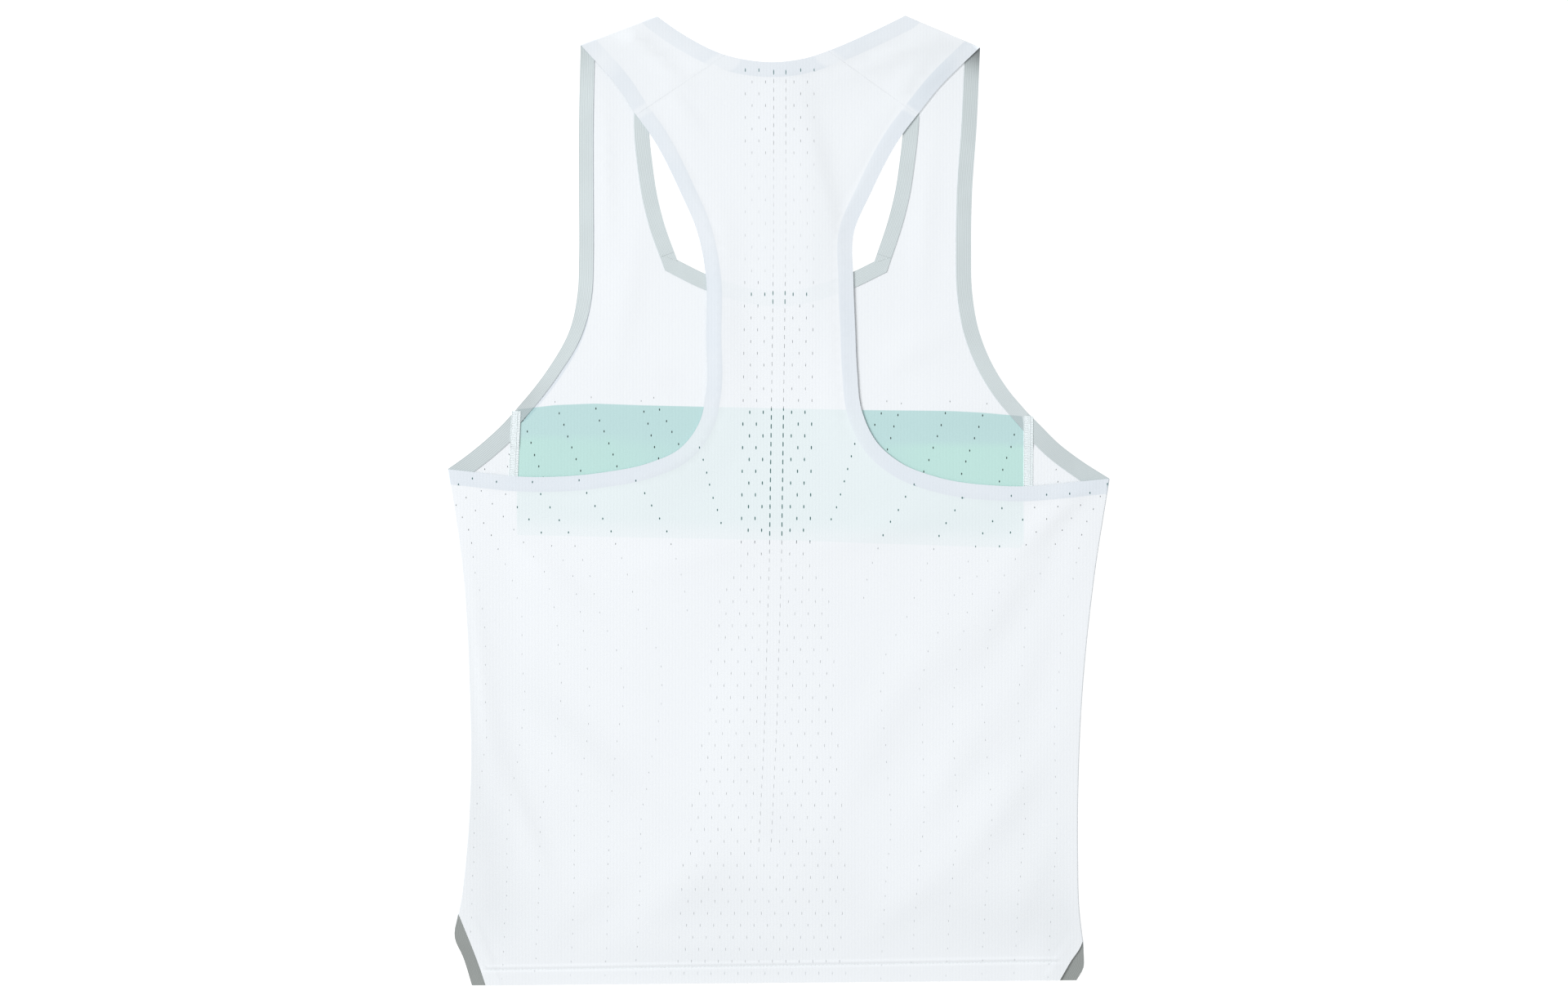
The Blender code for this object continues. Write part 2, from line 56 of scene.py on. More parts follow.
# From the middle of the cloth to that of a tape on it
TAPE_OFFSETS = {"front": (CLOTH + TAPE) / 2 + GAP, "back": -(CLOTH + TAPE) / 2 - GAP}
SEAM_GAP = 0.02  # from a shoulder seam to the cloth on each side of it
TAPE_WIDTH = 11.0

# Heights of the middle of a wall above the surface
FRONT_Z = CLOTH / 2
BACK_Z = FRONT_Z + CLOTH + TAPE + 2 * GAP  # the back where it lies on the front and one tape
EDGE_Z = BACK_Z + TAPE + GAP  # the back along its taped and folded edges
SETTLE = 28.0  # how far the back takes to come down from an edge
FOLD_RADIUS = (EDGE_Z - FRONT_Z) / 2
FOLD_REACH = FOLD_RADIUS + CLOTH / 2
FOLD_ARC = math.pi * FOLD_RADIUS
FOLD_STEPS = 6
FOLD_ROW_OVER = 0.2  # the mesh lines of a shoulder fold run on past both its ends, by this share of it
CREASE_SETTLE = 10.0  # how far the shallow creases take to fade out toward a fold or a bare edge

# How what lies inside shows on the outer face, as relief
TAPE_STEP, TAPE_SLOPE = 0.10, 1.8  # down from a tape, over this distance
SEAM_DIP, SEAM_DIP_WIDTH = 0.015, 1.2

# Tape joints
NECK_JOINT = 6.0  # above each corner of the front neckline
VENT_START = 1.5  # below the apex of each vent

# Facets, and the distances that keep them clear of each other
EDGE_STEP = 4.0
FOLD_STEP = 5.0
GRID = {"front": 6.5, "back": 4.6}
TAPE_GRID = 5.0
ROW_RISE = math.sqrt(0.75)  # from one row of a grid to the next, against its spacing
GRID_CLEARANCE = 0.55
FIELD_STEP = 1.0
WELD = 0.02
SAME_CORNER = 0.5
HOLE_OPEN = 0.85  # a triangle whose middle lies inside this share of a hole's area is left out
NORMAL_PROBE = 0.05
TUBE_SIDES = 5

# Every outline point is measured from the middle of the garment. Left is -X.
Pair = namedtuple("Pair", "left_x left_y right_x right_y")
Place = namedtuple("Place", "x y")
Section = namedtuple("Section", "y left right")
Lift = namedtuple("Lift", "x y angle length left right height")


def rows(kind, *table):
    """A table whose rows have names for their values."""
    return tuple(kind(*row) for row in table)


# Edge of the back's armhole, from the outer end of the shoulder fold to the underarm point
BACK_ARMHOLE = rows(
    Pair, (-145.2, 334.4, 148.2, 332.6), (-116.4, 301.4, 116.7, 301.4),
    (-104.4, 282.8, 102, 282.8),  # the shoulder seam meets the armhole here
    (-95.1, 270.2, 91.8, 269.6), (-71.1, 224.6, 67.4, 224.6), (-60.3, 199.4, 55.6, 197),
    (-52.8, 160.4, 55.2, 160.4), (-52.8, 121.4, 56.4, 127.4), (-52.8, 80.6, 57.9, 94.4),
    (-58.2, 56.6, 61.2, 66.2), (-72.6, 37.7, 73.2, 41.6), (-93.6, 27.8, 89.4, 27.8),
    (-127.2, 20.6, 116.7, 17), (-175.8, 17, 166.2, 10.4), (-243, 22.7, 243.4, 15.8),
)
SEAM_ROW = 2  # the row of BACK_ARMHOLE at the shoulder seam
RACER_END = 10  # and the first one below the racer back

# Edge of the front's armhole, from the outer end of the shoulder fold to the side seam
FRONT_ARMHOLE = rows(
    Pair, (-145.2, 334.4, 148.2, 332.6), (-146.4, 277.4, 145.8, 277.4), (-146.4, 223.4, 142.2, 223.4),
    (-146.4, 177.2, 141.6, 185), (-147.3, 153.2, 142.5, 151.4), (-153, 125.6, 147, 125.6),
    (-168.8, 96.8, 158.1, 98), (-182.2, 78.9, 169.2, 80.6), (-192, 67.4, 182.7, 64.7),
)
# How wide the left front armhole's tape looks, down the strap: it tilts a little where it turns outward
TILTED_TAPE = rows(Place, (8.9, 67), (8.7, 100), (9.4, 120), (10.5, 150), (10.4, 334))

# Edge of each wing, from the underarm point to the side seam
WING_EDGE = rows(
    Pair, (-243, 22.7, 243.4, 15.8), (-226.8, 34.4, 222.6, 29), (-212.4, 46.4, 204.6, 42.8),
    (-202.8, 55.4, 193.8, 53.6), (-192, 67.4, 182.7, 64.7),
)

# Neck edge of each front strap, from the inner end of the shoulder fold to the corner of the neckline
NECK_SIDE = rows(
    Pair, (-89.4, 355.4, 93.4, 355.8), (-93.6, 307.4, 93.3, 310.4), (-94.8, 270.2, 91.4, 268.4),
    (-92.7, 248.6, 89.3, 250.4), (-88.8, 222.8, 86.1, 228.2), (-84, 203.6, 81.6, 209),
    (-74.4, 176.6, 70.6, 175.4),
)

# Middle of the front neckline, from corner to corner
NECK_CENTRE = rows(Place, (-74.4, 176.6), (-52.5, 165.8), (0, 153.2), (52, 166.4), (70.6, 175.4))

# Back of the neck, from fold to fold
NECK_BACK = rows(
    Place, (-89.4, 355.4), (-70.8, 342.5),
    (-39, 326.9),  # left shoulder seam
    (-22.8, 323.2), (-3.6, 321.6), (23.4, 325.4),
    (36.6, 329.9),  # right shoulder seam
    (68.4, 343.6), (93.4, 355.8),
)
SEAM_PLACES = (2, 6)  # the rows of NECK_BACK at the shoulder seams

# How far each side fold reaches from the middle line. The first row is above the underarm and the last
# two are below the vents, where there is no cloth on the fold.
SIDE_FOLD = rows(
    Section, (73.4, 251.4, 251.4), (19.4, 242.4, 243.9), (-52.6, 232.1, 232.7), (-136.6, 227.2, 223.8),
    (-202.6, 226.4, 220.6), (-262.6, 229.8, 220.2), (-302.8, 235.2, 221.4), (-322.6, 240.6, 223.8),
    (-356, 241, 229),
)

# Cut edges of the side vents, from the apex to the hem, on the back and on the front
VENT_BACK = rows(
    Pair, (-235.2, -302.8, 223.8, -322.6), (-227.4, -322, 222, -327.8), (-220.8, -338.8, 215.4, -337.6),
    (-214.8, -356.2, 206.7, -352.5),
)
VENT_FRONT = rows(
    Pair, (-235.2, -302.8, 223.8, -322.6), (-237.6, -321.4, 224.4, -334), (-231.6, -335.2, 224.2, -343),
    (-225, -356.2, 219, -352.5),
)

SIDE_SEAM = (-192.0, 182.7)  # x of the side seams, which run straight down to the hem
HEM_LEFT = Place(-214.8, -356.2)
HEM_SLOPE = 3.7 / 421.5  # the hem rises a little from left to right

# Soft folds of the back: middle, direction in degrees, half length, half width on the left and on the
# right of that direction, and height. The side away from the light is the steeper one.
LIFTS = rows(
    Lift,
    (30, 236, 103, 58, 20, 9, 1),  # beside the middle of the racer back
    (38, 140, 92, 70, 14, 9, 0.7),  # on down its right edge
    (-41, 133, 90, 60, 9, 9, 0.6),  # along its left edge
    (-112, -8, 166, 46, 14, 18, 1),  # under the left armhole
    (-222, -110, 99, 84, 7, 9, 0.5),  # down the left side
    (-152, -176, 137, 48, 20, 14, 1.3), (104, -118, 46, 82, 36, 22, 0.9), (128, -196, 58, 52, 18, 15, 0.6),
    (162, -226, 52, 46, 22, 15, 1.1), (-76, -288, 36, 42, 22, 17, 0.8),
)

# Shallower creases
CREASES = rows(
    Lift, (-104, 336, 148, 26, 6, 5, 1.4), (-84, 319, 142, 20, 6, 5, 0.9), (-70, 288, 128, 22, 8, 6, 0.5),
    (84, 326, 22, 28, 8, 5, 0.5), (92, 300, 60, 24, 8, 7, 0.3), (-4, 268, 84, 40, 16, 12, 0.25),
    (-28, 80, 96, 50, 14, 10, 0.3), (-168, -54, 146, 30, 13, 8, 0.8), (-60, -40, 12, 60, 16, 12, 0.4),
    (70, -24, 14, 50, 14, 10, 0.5), (200, -14, 44, 36, 12, 9, 0.8), (166, -72, 56, 50, 20, 12, 0.6),
    (186, -112, 70, 60, 16, 12, 0.4), (-188, -232, 112, 40, 12, 8, 0.7), (-204, -266, 96, 60, 18, 30, -0.4),
    (-30, -170, 80, 60, 22, 16, 0.3), (60, -196, 60, 60, 18, 12, 0.3), (34, -280, 150, 34, 18, 14, 0.6),
    (184, -284, 70, 34, 18, 12, 0.6), (96, -292, 40, 40, 18, 12, 0.6), (-150, -300, 40, 44, 20, 14, 0.5),
    (-12, -240, 120, 40, 18, 14, 0.4),
)

# Folds of the front, where it shows beside the racer back
FRONT_LIFTS = rows(
    Lift, (-112, 150, 80, 60, 14, 10, 0.4), (-96, 96, 158, 34, 12, 9, 0.5), (-126, 246, 92, 50, 7, 5, 0.35),
    (108, 210, 86, 60, 10, 8, 0.4), (96, 108, 30, 34, 14, 10, 0.4),
)
FRONT_LIFT_START = 62.0  # they end this far from the middle of the garment

# Painted soft shades of the back that its folds don't give: as the folds, with a share of PAINTED_SHADE_TONE
# for the height
SHADES = rows(
    Lift, (-222, -230, 94, 110, 30, 30, 0.6), (-190, -302, 10, 40, 24, 24, 0.35),
    (-172, -158, 137, 34, 14, 14, 0.35), (-44, -296, 0, 62, 24, 30, 0.35), (-229, -110, 93, 70, 8, 6, 0.6),
    (58, -128, 60, 34, 14, 14, 0.25), (160, -308, 0, 70, 24, 28, 0.5), (196, -246, 80, 50, 24, 24, 0.25),
    (29, 230, 95, 90, 14, 16, 0.3), (66, 250, 66, 62, 16, 14, 0.35), (28, 152, 90, 56, 9, 9, 0.6),
    (-50, -338, 0, 110, 14, 14, 0.5), (206, -318, 90, 36, 12, 12, 0.6),
)
# The same painted shades for the front inside the garment, and for the straps where they lie on the back; a
# negative height takes painted shade away
FRONT_SHADES = rows(Lift, (140, 56, 0, 50, 12, 16, 0.35))
STRAP_SHADES = rows(Lift, (116, 316, 52, 34, 18, 14, 0.75), (-70, 318, 150, 22, 12, 12, -0.3))
# Where the tint that a tape gives the cloth over it is weak, as at the racer back's lower corners
TINT_FADES = rows(
    Lift, (-60, 45, 55, 26, 14, 14, 0.7), (57, 50, 115, 20, 12, 12, 0.45), (-55, 200, 110, 30, 12, 12, 0.4),
    (47, 190, 80, 30, 12, 12, 0.2), (-129, 321, 50, 20, 12, 12, 0.5), (131, 325, 130, 14, 9, 9, 0.45),
    (-76, 338, 150, 36, 10, 10, 0.3), (74, 337, 28, 40, 10, 10, 0.2), (68, 248, 60, 26, 10, 10, 0.2),
    (-75, 265, 122, 34, 11, 11, 0.2),
)

# The printed band across the front: its upper edge, and its straight lower one
BAND_TOP = rows(
    Place, (-192, 66.6), (-164.4, 69.8), (-135.6, 71), (-103.2, 69.8), (-54, 68.6), (61.2, 66.2),
    (124.8, 65.6), (148.8, 64.4), (182.7, 61.4),
)
BAND_FOOT = rows(Place, (-192, -25.6), (5, -29.4), (182.7, -35.4))
BAND_ENDS = (-192.0, 180.2)
BAND_CHANGE = rows(Place, (-192, 44.9), (182.7, 39.2))  # where its upper tone turns to the lower one
BAND_BLEND = 1.2
# It shows this much less through the back, this near to its lower edge
BAND_FADE, BAND_FADE_REACH = 0.5, 16.0

# Perforations: how wide and how high
DOT = (0.42, 1.4)
FIELD_DOT = (0.4, 2.5)
DASH = (0.36, 3.7)
HOLE_POINTS = 8
# How wide the back's holes are against that, up the garment: widest where the band lies under them
HOLE_GROWTH = rows(
    Place, (0.56, -356), (0.56, -44), (1.3, -30), (1.3, 62), (0.93, 80), (0.93, 154), (0.33, 168),
    (0.33, 245), (0.7, 262), (0.7, 330),
)
FRONT_GROWTH = rows(Place, (1, 0))  # and the front's, all alike
HOLE_CLEARANCE = 2.4  # from the outline
HOLES_APART = 5.0  # along x and y together
HOLE_MARGIN = 0.3  # how far the dark rim round a hole reaches; on the back it is painted shade
GRID_FROM_HOLE = 2.4
# Middle of the ladder of dashes that runs down the back
LADDER = rows(
    Place, (1.1, 319.4), (1, 190), (0.3, 134), (-2.1, -43.6), (-5.6, -166.6), (-10, -258), (-15.2, -356),
)
LADDER_HALF = 4.45
LADDER_PITCH = rows(Place, (6.63, -356), (6.63, -50), (6.55, 0), (6.55, 100), (6.475, 180), (6.475, 330))
LADDER_TOP, LADDER_END = 320.65, -258.0
# Staggered field on each side of the ladder
FIELD_TOP, FIELD_PITCH, FIELD_FIRST = 315.7, 9.9, 10.4
FIELD_ROW = rows(Place, (8.8, -356), (8.8, -60), (8.66, -20), (8.66, 330))
FIELD_REACH = rows(Place, (26, 330), (27, -52), (41, -60), (50, -180), (60, -262), (65, -356))
# Loose columns of dots: how far each is from the middle at these heights, from the neck to the hem
COLUMN_HEIGHTS = (37, 7, -23, -53, -83, -113, -143, -173, -233, -293, -353)
BACK_COLUMNS = (
    (56, 48, 38),
    (118, 98, 80, 69, 63),
    (160, 140, 121, 109, 99, 83, 80, 84, 92, 90, 90),
    (196, 175, 153, 137, 128, 113, 108, 112, 116, 113, 112),
    (221, 201, 173, 149, 142, 137, 133, 134, 141, 138, 138),
    (238, 217, 191, 169, 160, 157, 154, 158, 166, 164, 164),
    (247, 231, 210, 195, 185, 184, 181, 183, 190, 188, 188),
    (258, 240, 225, 220, 213, 211, 210, 208, 214, 213, 213),
    (276, 262, 250, 240, 236, 232, 230, 230, 238, 240, 240),
    (292, 280, 268, 256, 252, 250, 250, 250, 256, 258, 258),
)
BACK_PITCH = rows(Place, (10, -343), (10.4, -250), (14, -120), (13.4, -60), (9.3, -20))
FRONT_COLUMNS = (
    (66, 50, 40),
    (85, 76, 64, 55, 50, 50, 54, 58, 64, 68, 68),
    (118, 107, 95, 86, 80, 78, 80, 84, 92, 96, 96),
    (146, 135, 123, 114, 108, 106, 108, 112, 120, 124, 124),
    (175, 165, 151, 142, 136, 134, 136, 140, 148, 152, 152),
    (196, 187, 178, 170, 164, 162, 164, 168, 174, 176, 176),
)
FRONT_MIDDLE = -5.0
FRONT_LINE = rows(Place, (FRONT_MIDDLE, 0))
FRONT_PITCH = rows(Place, (10, -343), (8.4, 80))
COLUMN_JITTER, SEED = 0.35, 11
BACK_COLUMN_TOP, FRONT_COLUMN_TOP = 44.0, 76.0
COLUMN_START = 6.0  # how far below that a column may start

# Side seams: the middle of the overlocked allowance inside, from the armhole down, and its threads
OVERLOCK_LINE = rows(
    Pair, (-192.4, 65.4, 183.9, 61.6), (-193.6, 40, 183.8, 40), (-194.6, 16, 183.7, 12),
    (-192.2, -40, 182.8, -40), (-192, -338, 182.7, -334),
)
OVERLOCK_WIDTH, OVERLOCK_THICK = 6.8, 0.17
OVERLOCK_CLIMB = rows(Place, (36, 0), (41.5, 0.4))  # it climbs on to the ends of the armhole tapes
OVERLOCK_PITCH = 1.3
OVERLOCK_SWING = 0.96  # of its zigzag, as a share of its width
OVERLOCK_STRAIGHT = (0.64, 0.04, 0.96)  # where its straight threads run, as shares of its width
THREAD = 0.12  # radius
# How high a thread's middle lies on the seams' cloth and on the neck tape, in radii
SEAM_THREAD_UP, JOINT_THREAD_UP = 0.8, 0.7
JOINT_THREADS = rows(Pair, (-74, 175.6, 71.2, 174.8), (-87.4, 180.8, 82.4, 178.6))  # across the neck tape
JOINT_TURNS, JOINT_SWING = 25, 0.3
# Shoulder seams, left and right: how far the allowance reaches over the tapes of the front, and over those
# of the back at the armhole and at the neck
FRONT_ALLOWANCE, ARMHOLE_ALLOWANCE, NECK_ALLOWANCE = (3.8, 2.2), (3.4, 2.0), (12.0, 11.0)
SEAM_KEEPS = 0.35  # how much of the tape still shows there
FAR = 99.0
# Shade inside each shoulder fold on the front's armhole tape: along it, close to the fold, and their reach
FOLD_SHADES = ((0.02, 0.12), (0.09, 0.6))
FOLD_SHADE_REACH = (100.0, 14.0)
TAPE_SHADES = rows(Lift, (-187, 73, 45, 18, 14, 14, 0.14))
PAINTED_STRAP_GLOW, THROUGH_REACH, THROUGH_FADE = 0.26, 2.6, 1.2  # painted light on the front beside the right strap's edge, for light that the strap lets through: its strength, reach and fade
THROUGH_START = 3  # the points of the strap's edge that it leaves out at the fold, in the mesh's lines

# Hem: turned in, held by a row of stitches in a dip just below the step down to the single cloth
STITCH_ROW = rows(Place, (-176, 11.4), (175, 13.8))  # x, and height above the edge
HEM_STEP, HEM_STEP_START, HEM_STEP_END = 0.36, 1.8, 4.3  # all measured up from the stitches
HEM_DIP, HEM_DIP_WIDTH = 0.4, 1.2
HEM_LINES = (-4.2, -3.0, -2.2, -1.5, -0.8, 0.0, 0.6, 1.2, 1.8, 2.6, 3.4, 4.3, 5.3)
HEM_LINE_ENDS = (-213, 205)
HEM_TURNED = 1.5  # how far the turned-in cloth reaches past the stitches
HEM_FOLD, HEM_FOLD_GAP = 0.15, 0.02  # the turned-in cloth, pressed flat
STITCH, STITCH_PITCH = 2.1, 2.9
STITCH_RISE = (-0.9, 0.5, 0.8, 0.5, -0.9)  # along a stitch, over the cloth, against the thread's radius

SIDES = (-1, 1)
SIDE_NAMES = {-1: "left", 1: "right"}


# ---------------------------------------------------------------- curves and distances


def smooth(t):
    """0 up to 0, 1 from 1 and a soft rise between."""
    t = np.clip(t, 0.0, 1.0)
    return t * t * (3 - 2 * t)


def curve(points, step):
    """Points at most step apart on a smooth curve through the given ones, which it keeps."""
    p = np.asarray(points, float)
    chord = np.linalg.norm(np.diff(p, axis=0), axis=1)
    slope = np.diff(p, axis=0) / chord[:, None]
    tangent = np.empty_like(p)
    tangent[0], tangent[-1] = slope[0], slope[-1]
    before, after = chord[:-1, None], chord[1:, None]
    tangent[1:-1] = (slope[:-1] * after + slope[1:] * before) / (before + after)
    out = [p[:1]]
    for i, length in enumerate(chord):
        t = np.linspace(0, 1, max(1, math.ceil(length / step)) + 1)[1:, None]
        out.append(
            (2 * t**3 - 3 * t**2 + 1) * p[i]
            + (t**3 - 2 * t**2 + t) * length * tangent[i]
            + (3 * t**2 - 2 * t**3) * p[i + 1]
            + (t**3 - t**2) * length * tangent[i + 1]
        )
    return np.concatenate(out)


def on_side(table, side):
    """One side's columns of a table of pairs, as points."""
    start = 0 if side < 0 else 2
    return np.array([row[start : start + 2] for row in table], float)


def side_curve(table, side, step=EDGE_STEP):
    return curve(on_side(table, side), step)


def left_of(step):
    """Steps turned a quarter to their left."""
    return np.stack([-step[..., 1], step[..., 0]], axis=-1)


def lengths(line):
    """Distance along a line of each of its points."""
    return np.concatenate([[0], np.cumsum(np.linalg.norm(np.diff(line, axis=0), axis=1))])


def read_line(line, length, at):
    """Points of a line at some distances along it, given the length up to each of its own points."""
    return np.stack([np.interp(at, length, line[:, k]) for k in (0, 1)], axis=-1)


def tree_of(points):
    """A search tree of points in the plane."""
    tree = kdtree.KDTree(len(points))
    for i, (x, y) in enumerate(points):
        tree.insert((x, y, 0.0), i)
    tree.balance()
    return tree


def nearest(points, tree):
    """Distance of each point from the nearest point in a tree."""
    return np.array([tree.find((x, y, 0.0))[2] for x, y in points])


def share_along(points, a, b):
    """How far each point lies along the straight line from a to b, 0 to 1."""
    return np.clip(((points - a) @ (b - a)) / ((b - a) @ (b - a)), 0, 1)


def from_segment(points, a, b):
    """Distance of each point from the straight line from a to b."""
    return np.hypot(*(points - a - np.outer(share_along(points, a, b), b - a)).T)


def read_at(places, at):
    """The first column of a table of places, read at values of its second."""
    table = np.array(sorted((y, x) for x, y in places), float)
    return np.interp(at, table[:, 0], table[:, 1])


def height_on(places, x):
    """Height of a line of places at x."""
    table = np.array(places, float)
    return np.interp(x, table[:, 0], table[:, 1])


def hem_y(x):
    return HEM_LEFT.y + (np.asarray(x) - HEM_LEFT.x) * HEM_SLOPE


def stitch_y(x):
    return hem_y(x) + height_on(STITCH_ROW, x)


# ---------------------------------------------------------------- folding the panels into place


def unrolled(past):
    """How far along the cloth points are that show this far past a fold's middle line."""
    return np.where(past < 0, past, np.arcsin(np.clip(past / FOLD_RADIUS, 0, 1)) * FOLD_RADIUS)


def rolled(past):
    """For cloth this far past a fold's middle line: its angle round the fold, and how far past it shows."""
    angle = np.clip(past / FOLD_RADIUS, 0, math.pi)
    return angle, FOLD_RADIUS * np.sin(angle) - np.maximum(past - FOLD_ARC, 0)


class ShoulderFold:
    """The fold where a strap of the front turns over on to the back."""

    def __init__(self, side):
        self.side = side
        tip, neck = on_side(BACK_ARMHOLE, side)[0], on_side(NECK_SIDE, side)[0]
        self.length = np.linalg.norm(neck - tip)
        self.along = (neck - tip) / self.length
        self.out = -left_of(self.along) * side
        self.start = tip - self.out * FOLD_REACH

    def beyond(self, points):
        """How far points lie past the fold's middle line, and whether they are on this side."""
        return (points - self.start) @ self.out, points[:, 0] * self.side > 0

    def to_cut(self, points):
        """Cut coordinates of points on the part of the strap that lies on the back."""
        past = self.beyond(points)[0]
        return points + np.outer(FOLD_ARC - unrolled(past) - past, self.out)

    def row(self, turn):
        """A line across the strap at one angle of the fold, in cut coordinates."""
        steps = np.linspace(-FOLD_ROW_OVER, 1 + FOLD_ROW_OVER, 2 + math.ceil(self.length / FOLD_STEP))
        line = self.start + np.outer(steps * self.length, self.along)
        return line + self.out * FOLD_RADIUS * turn


SHOULDERS = {side: ShoulderFold(side) for side in SIDES}
FOLD_CURVES = {
    side: curve([(row.y, row.left if side < 0 else row.right) for row in SIDE_FOLD], FIELD_STEP)
    for side in SIDES
}
SHOULDER_SEAMS = {
    side: (on_side(BACK_ARMHOLE, side)[SEAM_ROW], np.array(NECK_BACK[SEAM_PLACES[side > 0]]))
    for side in SIDES
}


def fold_middle(y, side):
    """Distance of a side fold's middle line from the garment's middle line, at height y."""
    table = FOLD_CURVES[side][::-1]
    return np.interp(y, table[:, 0], table[:, 1]) - FOLD_REACH


def wrap_to_cut(points, side, wing):
    """Cut coordinates of points of the back near a side fold, on the back itself or on the wing."""
    x, y = np.abs(points[:, 0]), points[:, 1]
    middle = fold_middle(y, side)
    along = unrolled(x - middle)
    return np.column_stack([(middle + (FOLD_ARC - along if wing else along)) * side, y])


def side_fold_row(side, turn):
    """A line down a side fold at one angle of the fold, in cut coordinates."""
    y = np.arange(SIDE_FOLD[0].y, SIDE_FOLD[-1].y, -FOLD_STEP)
    return np.column_stack([side * (fold_middle(y, side) + FOLD_RADIUS * turn), y])


def edge_fields():
    """Search trees of the back's taped edges, of all its raised edges, and of its folds."""
    taped, folds = [curve(NECK_BACK, FIELD_STEP)], []
    for side, fold in FOLD_CURVES.items():
        taped += [side_curve(table, side, FIELD_STEP) for table in (BACK_ARMHOLE, VENT_BACK)]
        ends = [on_side(table, side)[0] for table in (BACK_ARMHOLE, NECK_SIDE)]
        folds += [curve(ends, FIELD_STEP), np.column_stack([side * fold[:, 1], fold[:, 0]])]
    return tuple(tree_of(np.concatenate(lines)) for lines in (taped, taped + folds, folds))


TAPED, RAISED, FOLDED = edge_fields()


def bump(table, x, y):
    """Height that a table of soft folds adds."""
    lift = np.zeros(len(x))
    for fold in table:
        turn = math.radians(fold.angle)
        dx, dy = x - fold.x, y - fold.y
        along = (dx * math.cos(turn) + dy * math.sin(turn)) / fold.length
        across = dy * math.cos(turn) - dx * math.sin(turn)
        across /= np.where(across > 0, fold.left, fold.right)
        lift += fold.height * np.exp(-(along**2) - across**2)
    return lift


def back_height(x, y):
    """Height of the middle of the back's wall."""
    points = np.column_stack([x, y])
    raised, taped, fold = (nearest(points, tree) for tree in (RAISED, TAPED, FOLDED))
    height = EDGE_Z - (EDGE_Z - BACK_Z) * smooth((raised - TAPE_WIDTH) / SETTLE)
    step = smooth((taped - TAPE_WIDTH + TAPE_SLOPE / 2) / TAPE_SLOPE) * TAPE_STEP
    above = y - stitch_y(x)
    ridges = HEM_STEP * smooth((HEM_STEP_END - above) / (HEM_STEP_END - HEM_STEP_START))
    ridges -= HEM_DIP * np.exp(-((above / HEM_DIP_WIDTH) ** 2))
    for a, b in SHOULDER_SEAMS.values():
        ridges = ridges - SEAM_DIP * np.exp(-((from_segment(points, a, b) / SEAM_DIP_WIDTH) ** 2))
    soft = bump(LIFTS + CREASES, x, y)
    return height + (ridges - step) * smooth(fold / SETTLE) + soft * smooth(fold / CREASE_SETTLE)


def front_height(x, y):
    """Height of the middle of the front's wall where it lies flat."""
    clear = smooth((np.abs(x) - FRONT_LIFT_START) / SETTLE)
    return FRONT_Z + bump(FRONT_LIFTS, x, y) * clear


def place_front(cut):
    """Where points of the front's wall lie: flat, then over the shoulder folds on to the back."""
    x, y = cut.T.copy()
    z = front_height(x, y)
    for fold in SHOULDERS.values():
        past, here = fold.beyond(cut)
        angle, reach = rolled(past)
        bent, over = here & (past > 0), here & (past >= FOLD_ARC)
        moved = cut + np.outer(reach - past, fold.out)
        x, y = np.where(bent, moved[:, 0], x), np.where(bent, moved[:, 1], y)
        z = np.where(bent, FRONT_Z + FOLD_RADIUS * (1 - np.cos(angle)), z)
        z[over] = back_height(x[over], y[over])
    return np.column_stack([x, y, z])


def place_back(cut):
    """Where points of the back's wall lie: on the front, then round the side folds as flat wings."""
    x, y = cut.T.copy()
    z = np.full(len(cut), FRONT_Z)
    for side in SIDES:
        here = x > 0 if side > 0 else x <= 0
        middle = fold_middle(y, side)
        past = np.abs(x) - middle
        angle, reach = rolled(past)
        bent, flat = here & (past > 0), here & (past <= 0)
        x = np.where(bent, side * (middle + reach), x)
        z = np.where(bent, FRONT_Z + FOLD_RADIUS * (1 + np.cos(angle)), z)
        z[flat] = back_height(x[flat], y[flat])
    return np.column_stack([x, y, z])


PLACES = {"front": place_front, "back": place_back}


# ---------------------------------------------------------------- outlines of panels and tapes


def trimmed(line):
    """A line with its last point drawn back from a seam."""
    step = line[-2] - line[-1]
    line = line.copy()
    line[-1] += step / np.linalg.norm(step) * SEAM_GAP
    return line


def beside(line, width):
    """A line beside a line, to its left, with mitred corners."""
    step = np.diff(line, axis=0)
    left = left_of(step / np.linalg.norm(step, axis=1)[:, None])
    first, last = np.vstack([left[:1], left]), np.vstack([left, left[-1:]])
    mitre = first + last
    mitre /= (mitre * first).sum(axis=1)[:, None]
    return line + mitre * width


def met(line, corner, toward):
    """A line cut off, or carried on, where it meets the straight line through two points."""
    height = (line - corner) @ left_of(toward - corner)
    crossing = np.nonzero(np.sign(height[1:]) != np.sign(height[:-1]))[0]
    last = crossing[0] if len(crossing) else len(line) - 2
    a, b = line[last], line[last + 1]
    share = height[last] / (height[last] - height[last + 1])
    return np.vstack([line[: last + 1], a + (b - a) * share])


def strip(edge, turn, start, end, width):
    """A tape's outline: an edge, and a line beside it cut off at the straight lines at its two ends."""
    line = met(beside(edge, width * turn), *end)
    line = met(line[::-1], *start)
    return np.vstack([edge, line]), line


def split_at(line, place):
    """The two parts of a line on each side of one of its points."""
    at = int(np.argmin(np.hypot(*(line - place).T)))
    return line[: at + 1], line[at:]


def upright(side, out):
    """Two points on a side seam, moved out from the middle of the garment."""
    x = SIDE_SEAM[side > 0] + side * out
    return np.array([(x, 0.0), (x, 1.0)])


def seam_line(side, out, top):
    """A side seam's edge in plan, from the armhole down to the hem."""
    x = upright(side, out)[0][0]
    return curve([(x, top), (x, hem_y(x))], FOLD_STEP)


def level_line(height, start, end, up=0.0):
    """A line along the hem or its stitches, or above them, from one x to another."""
    return curve([(x, height(x) + up) for x in (start, end)], FOLD_STEP)


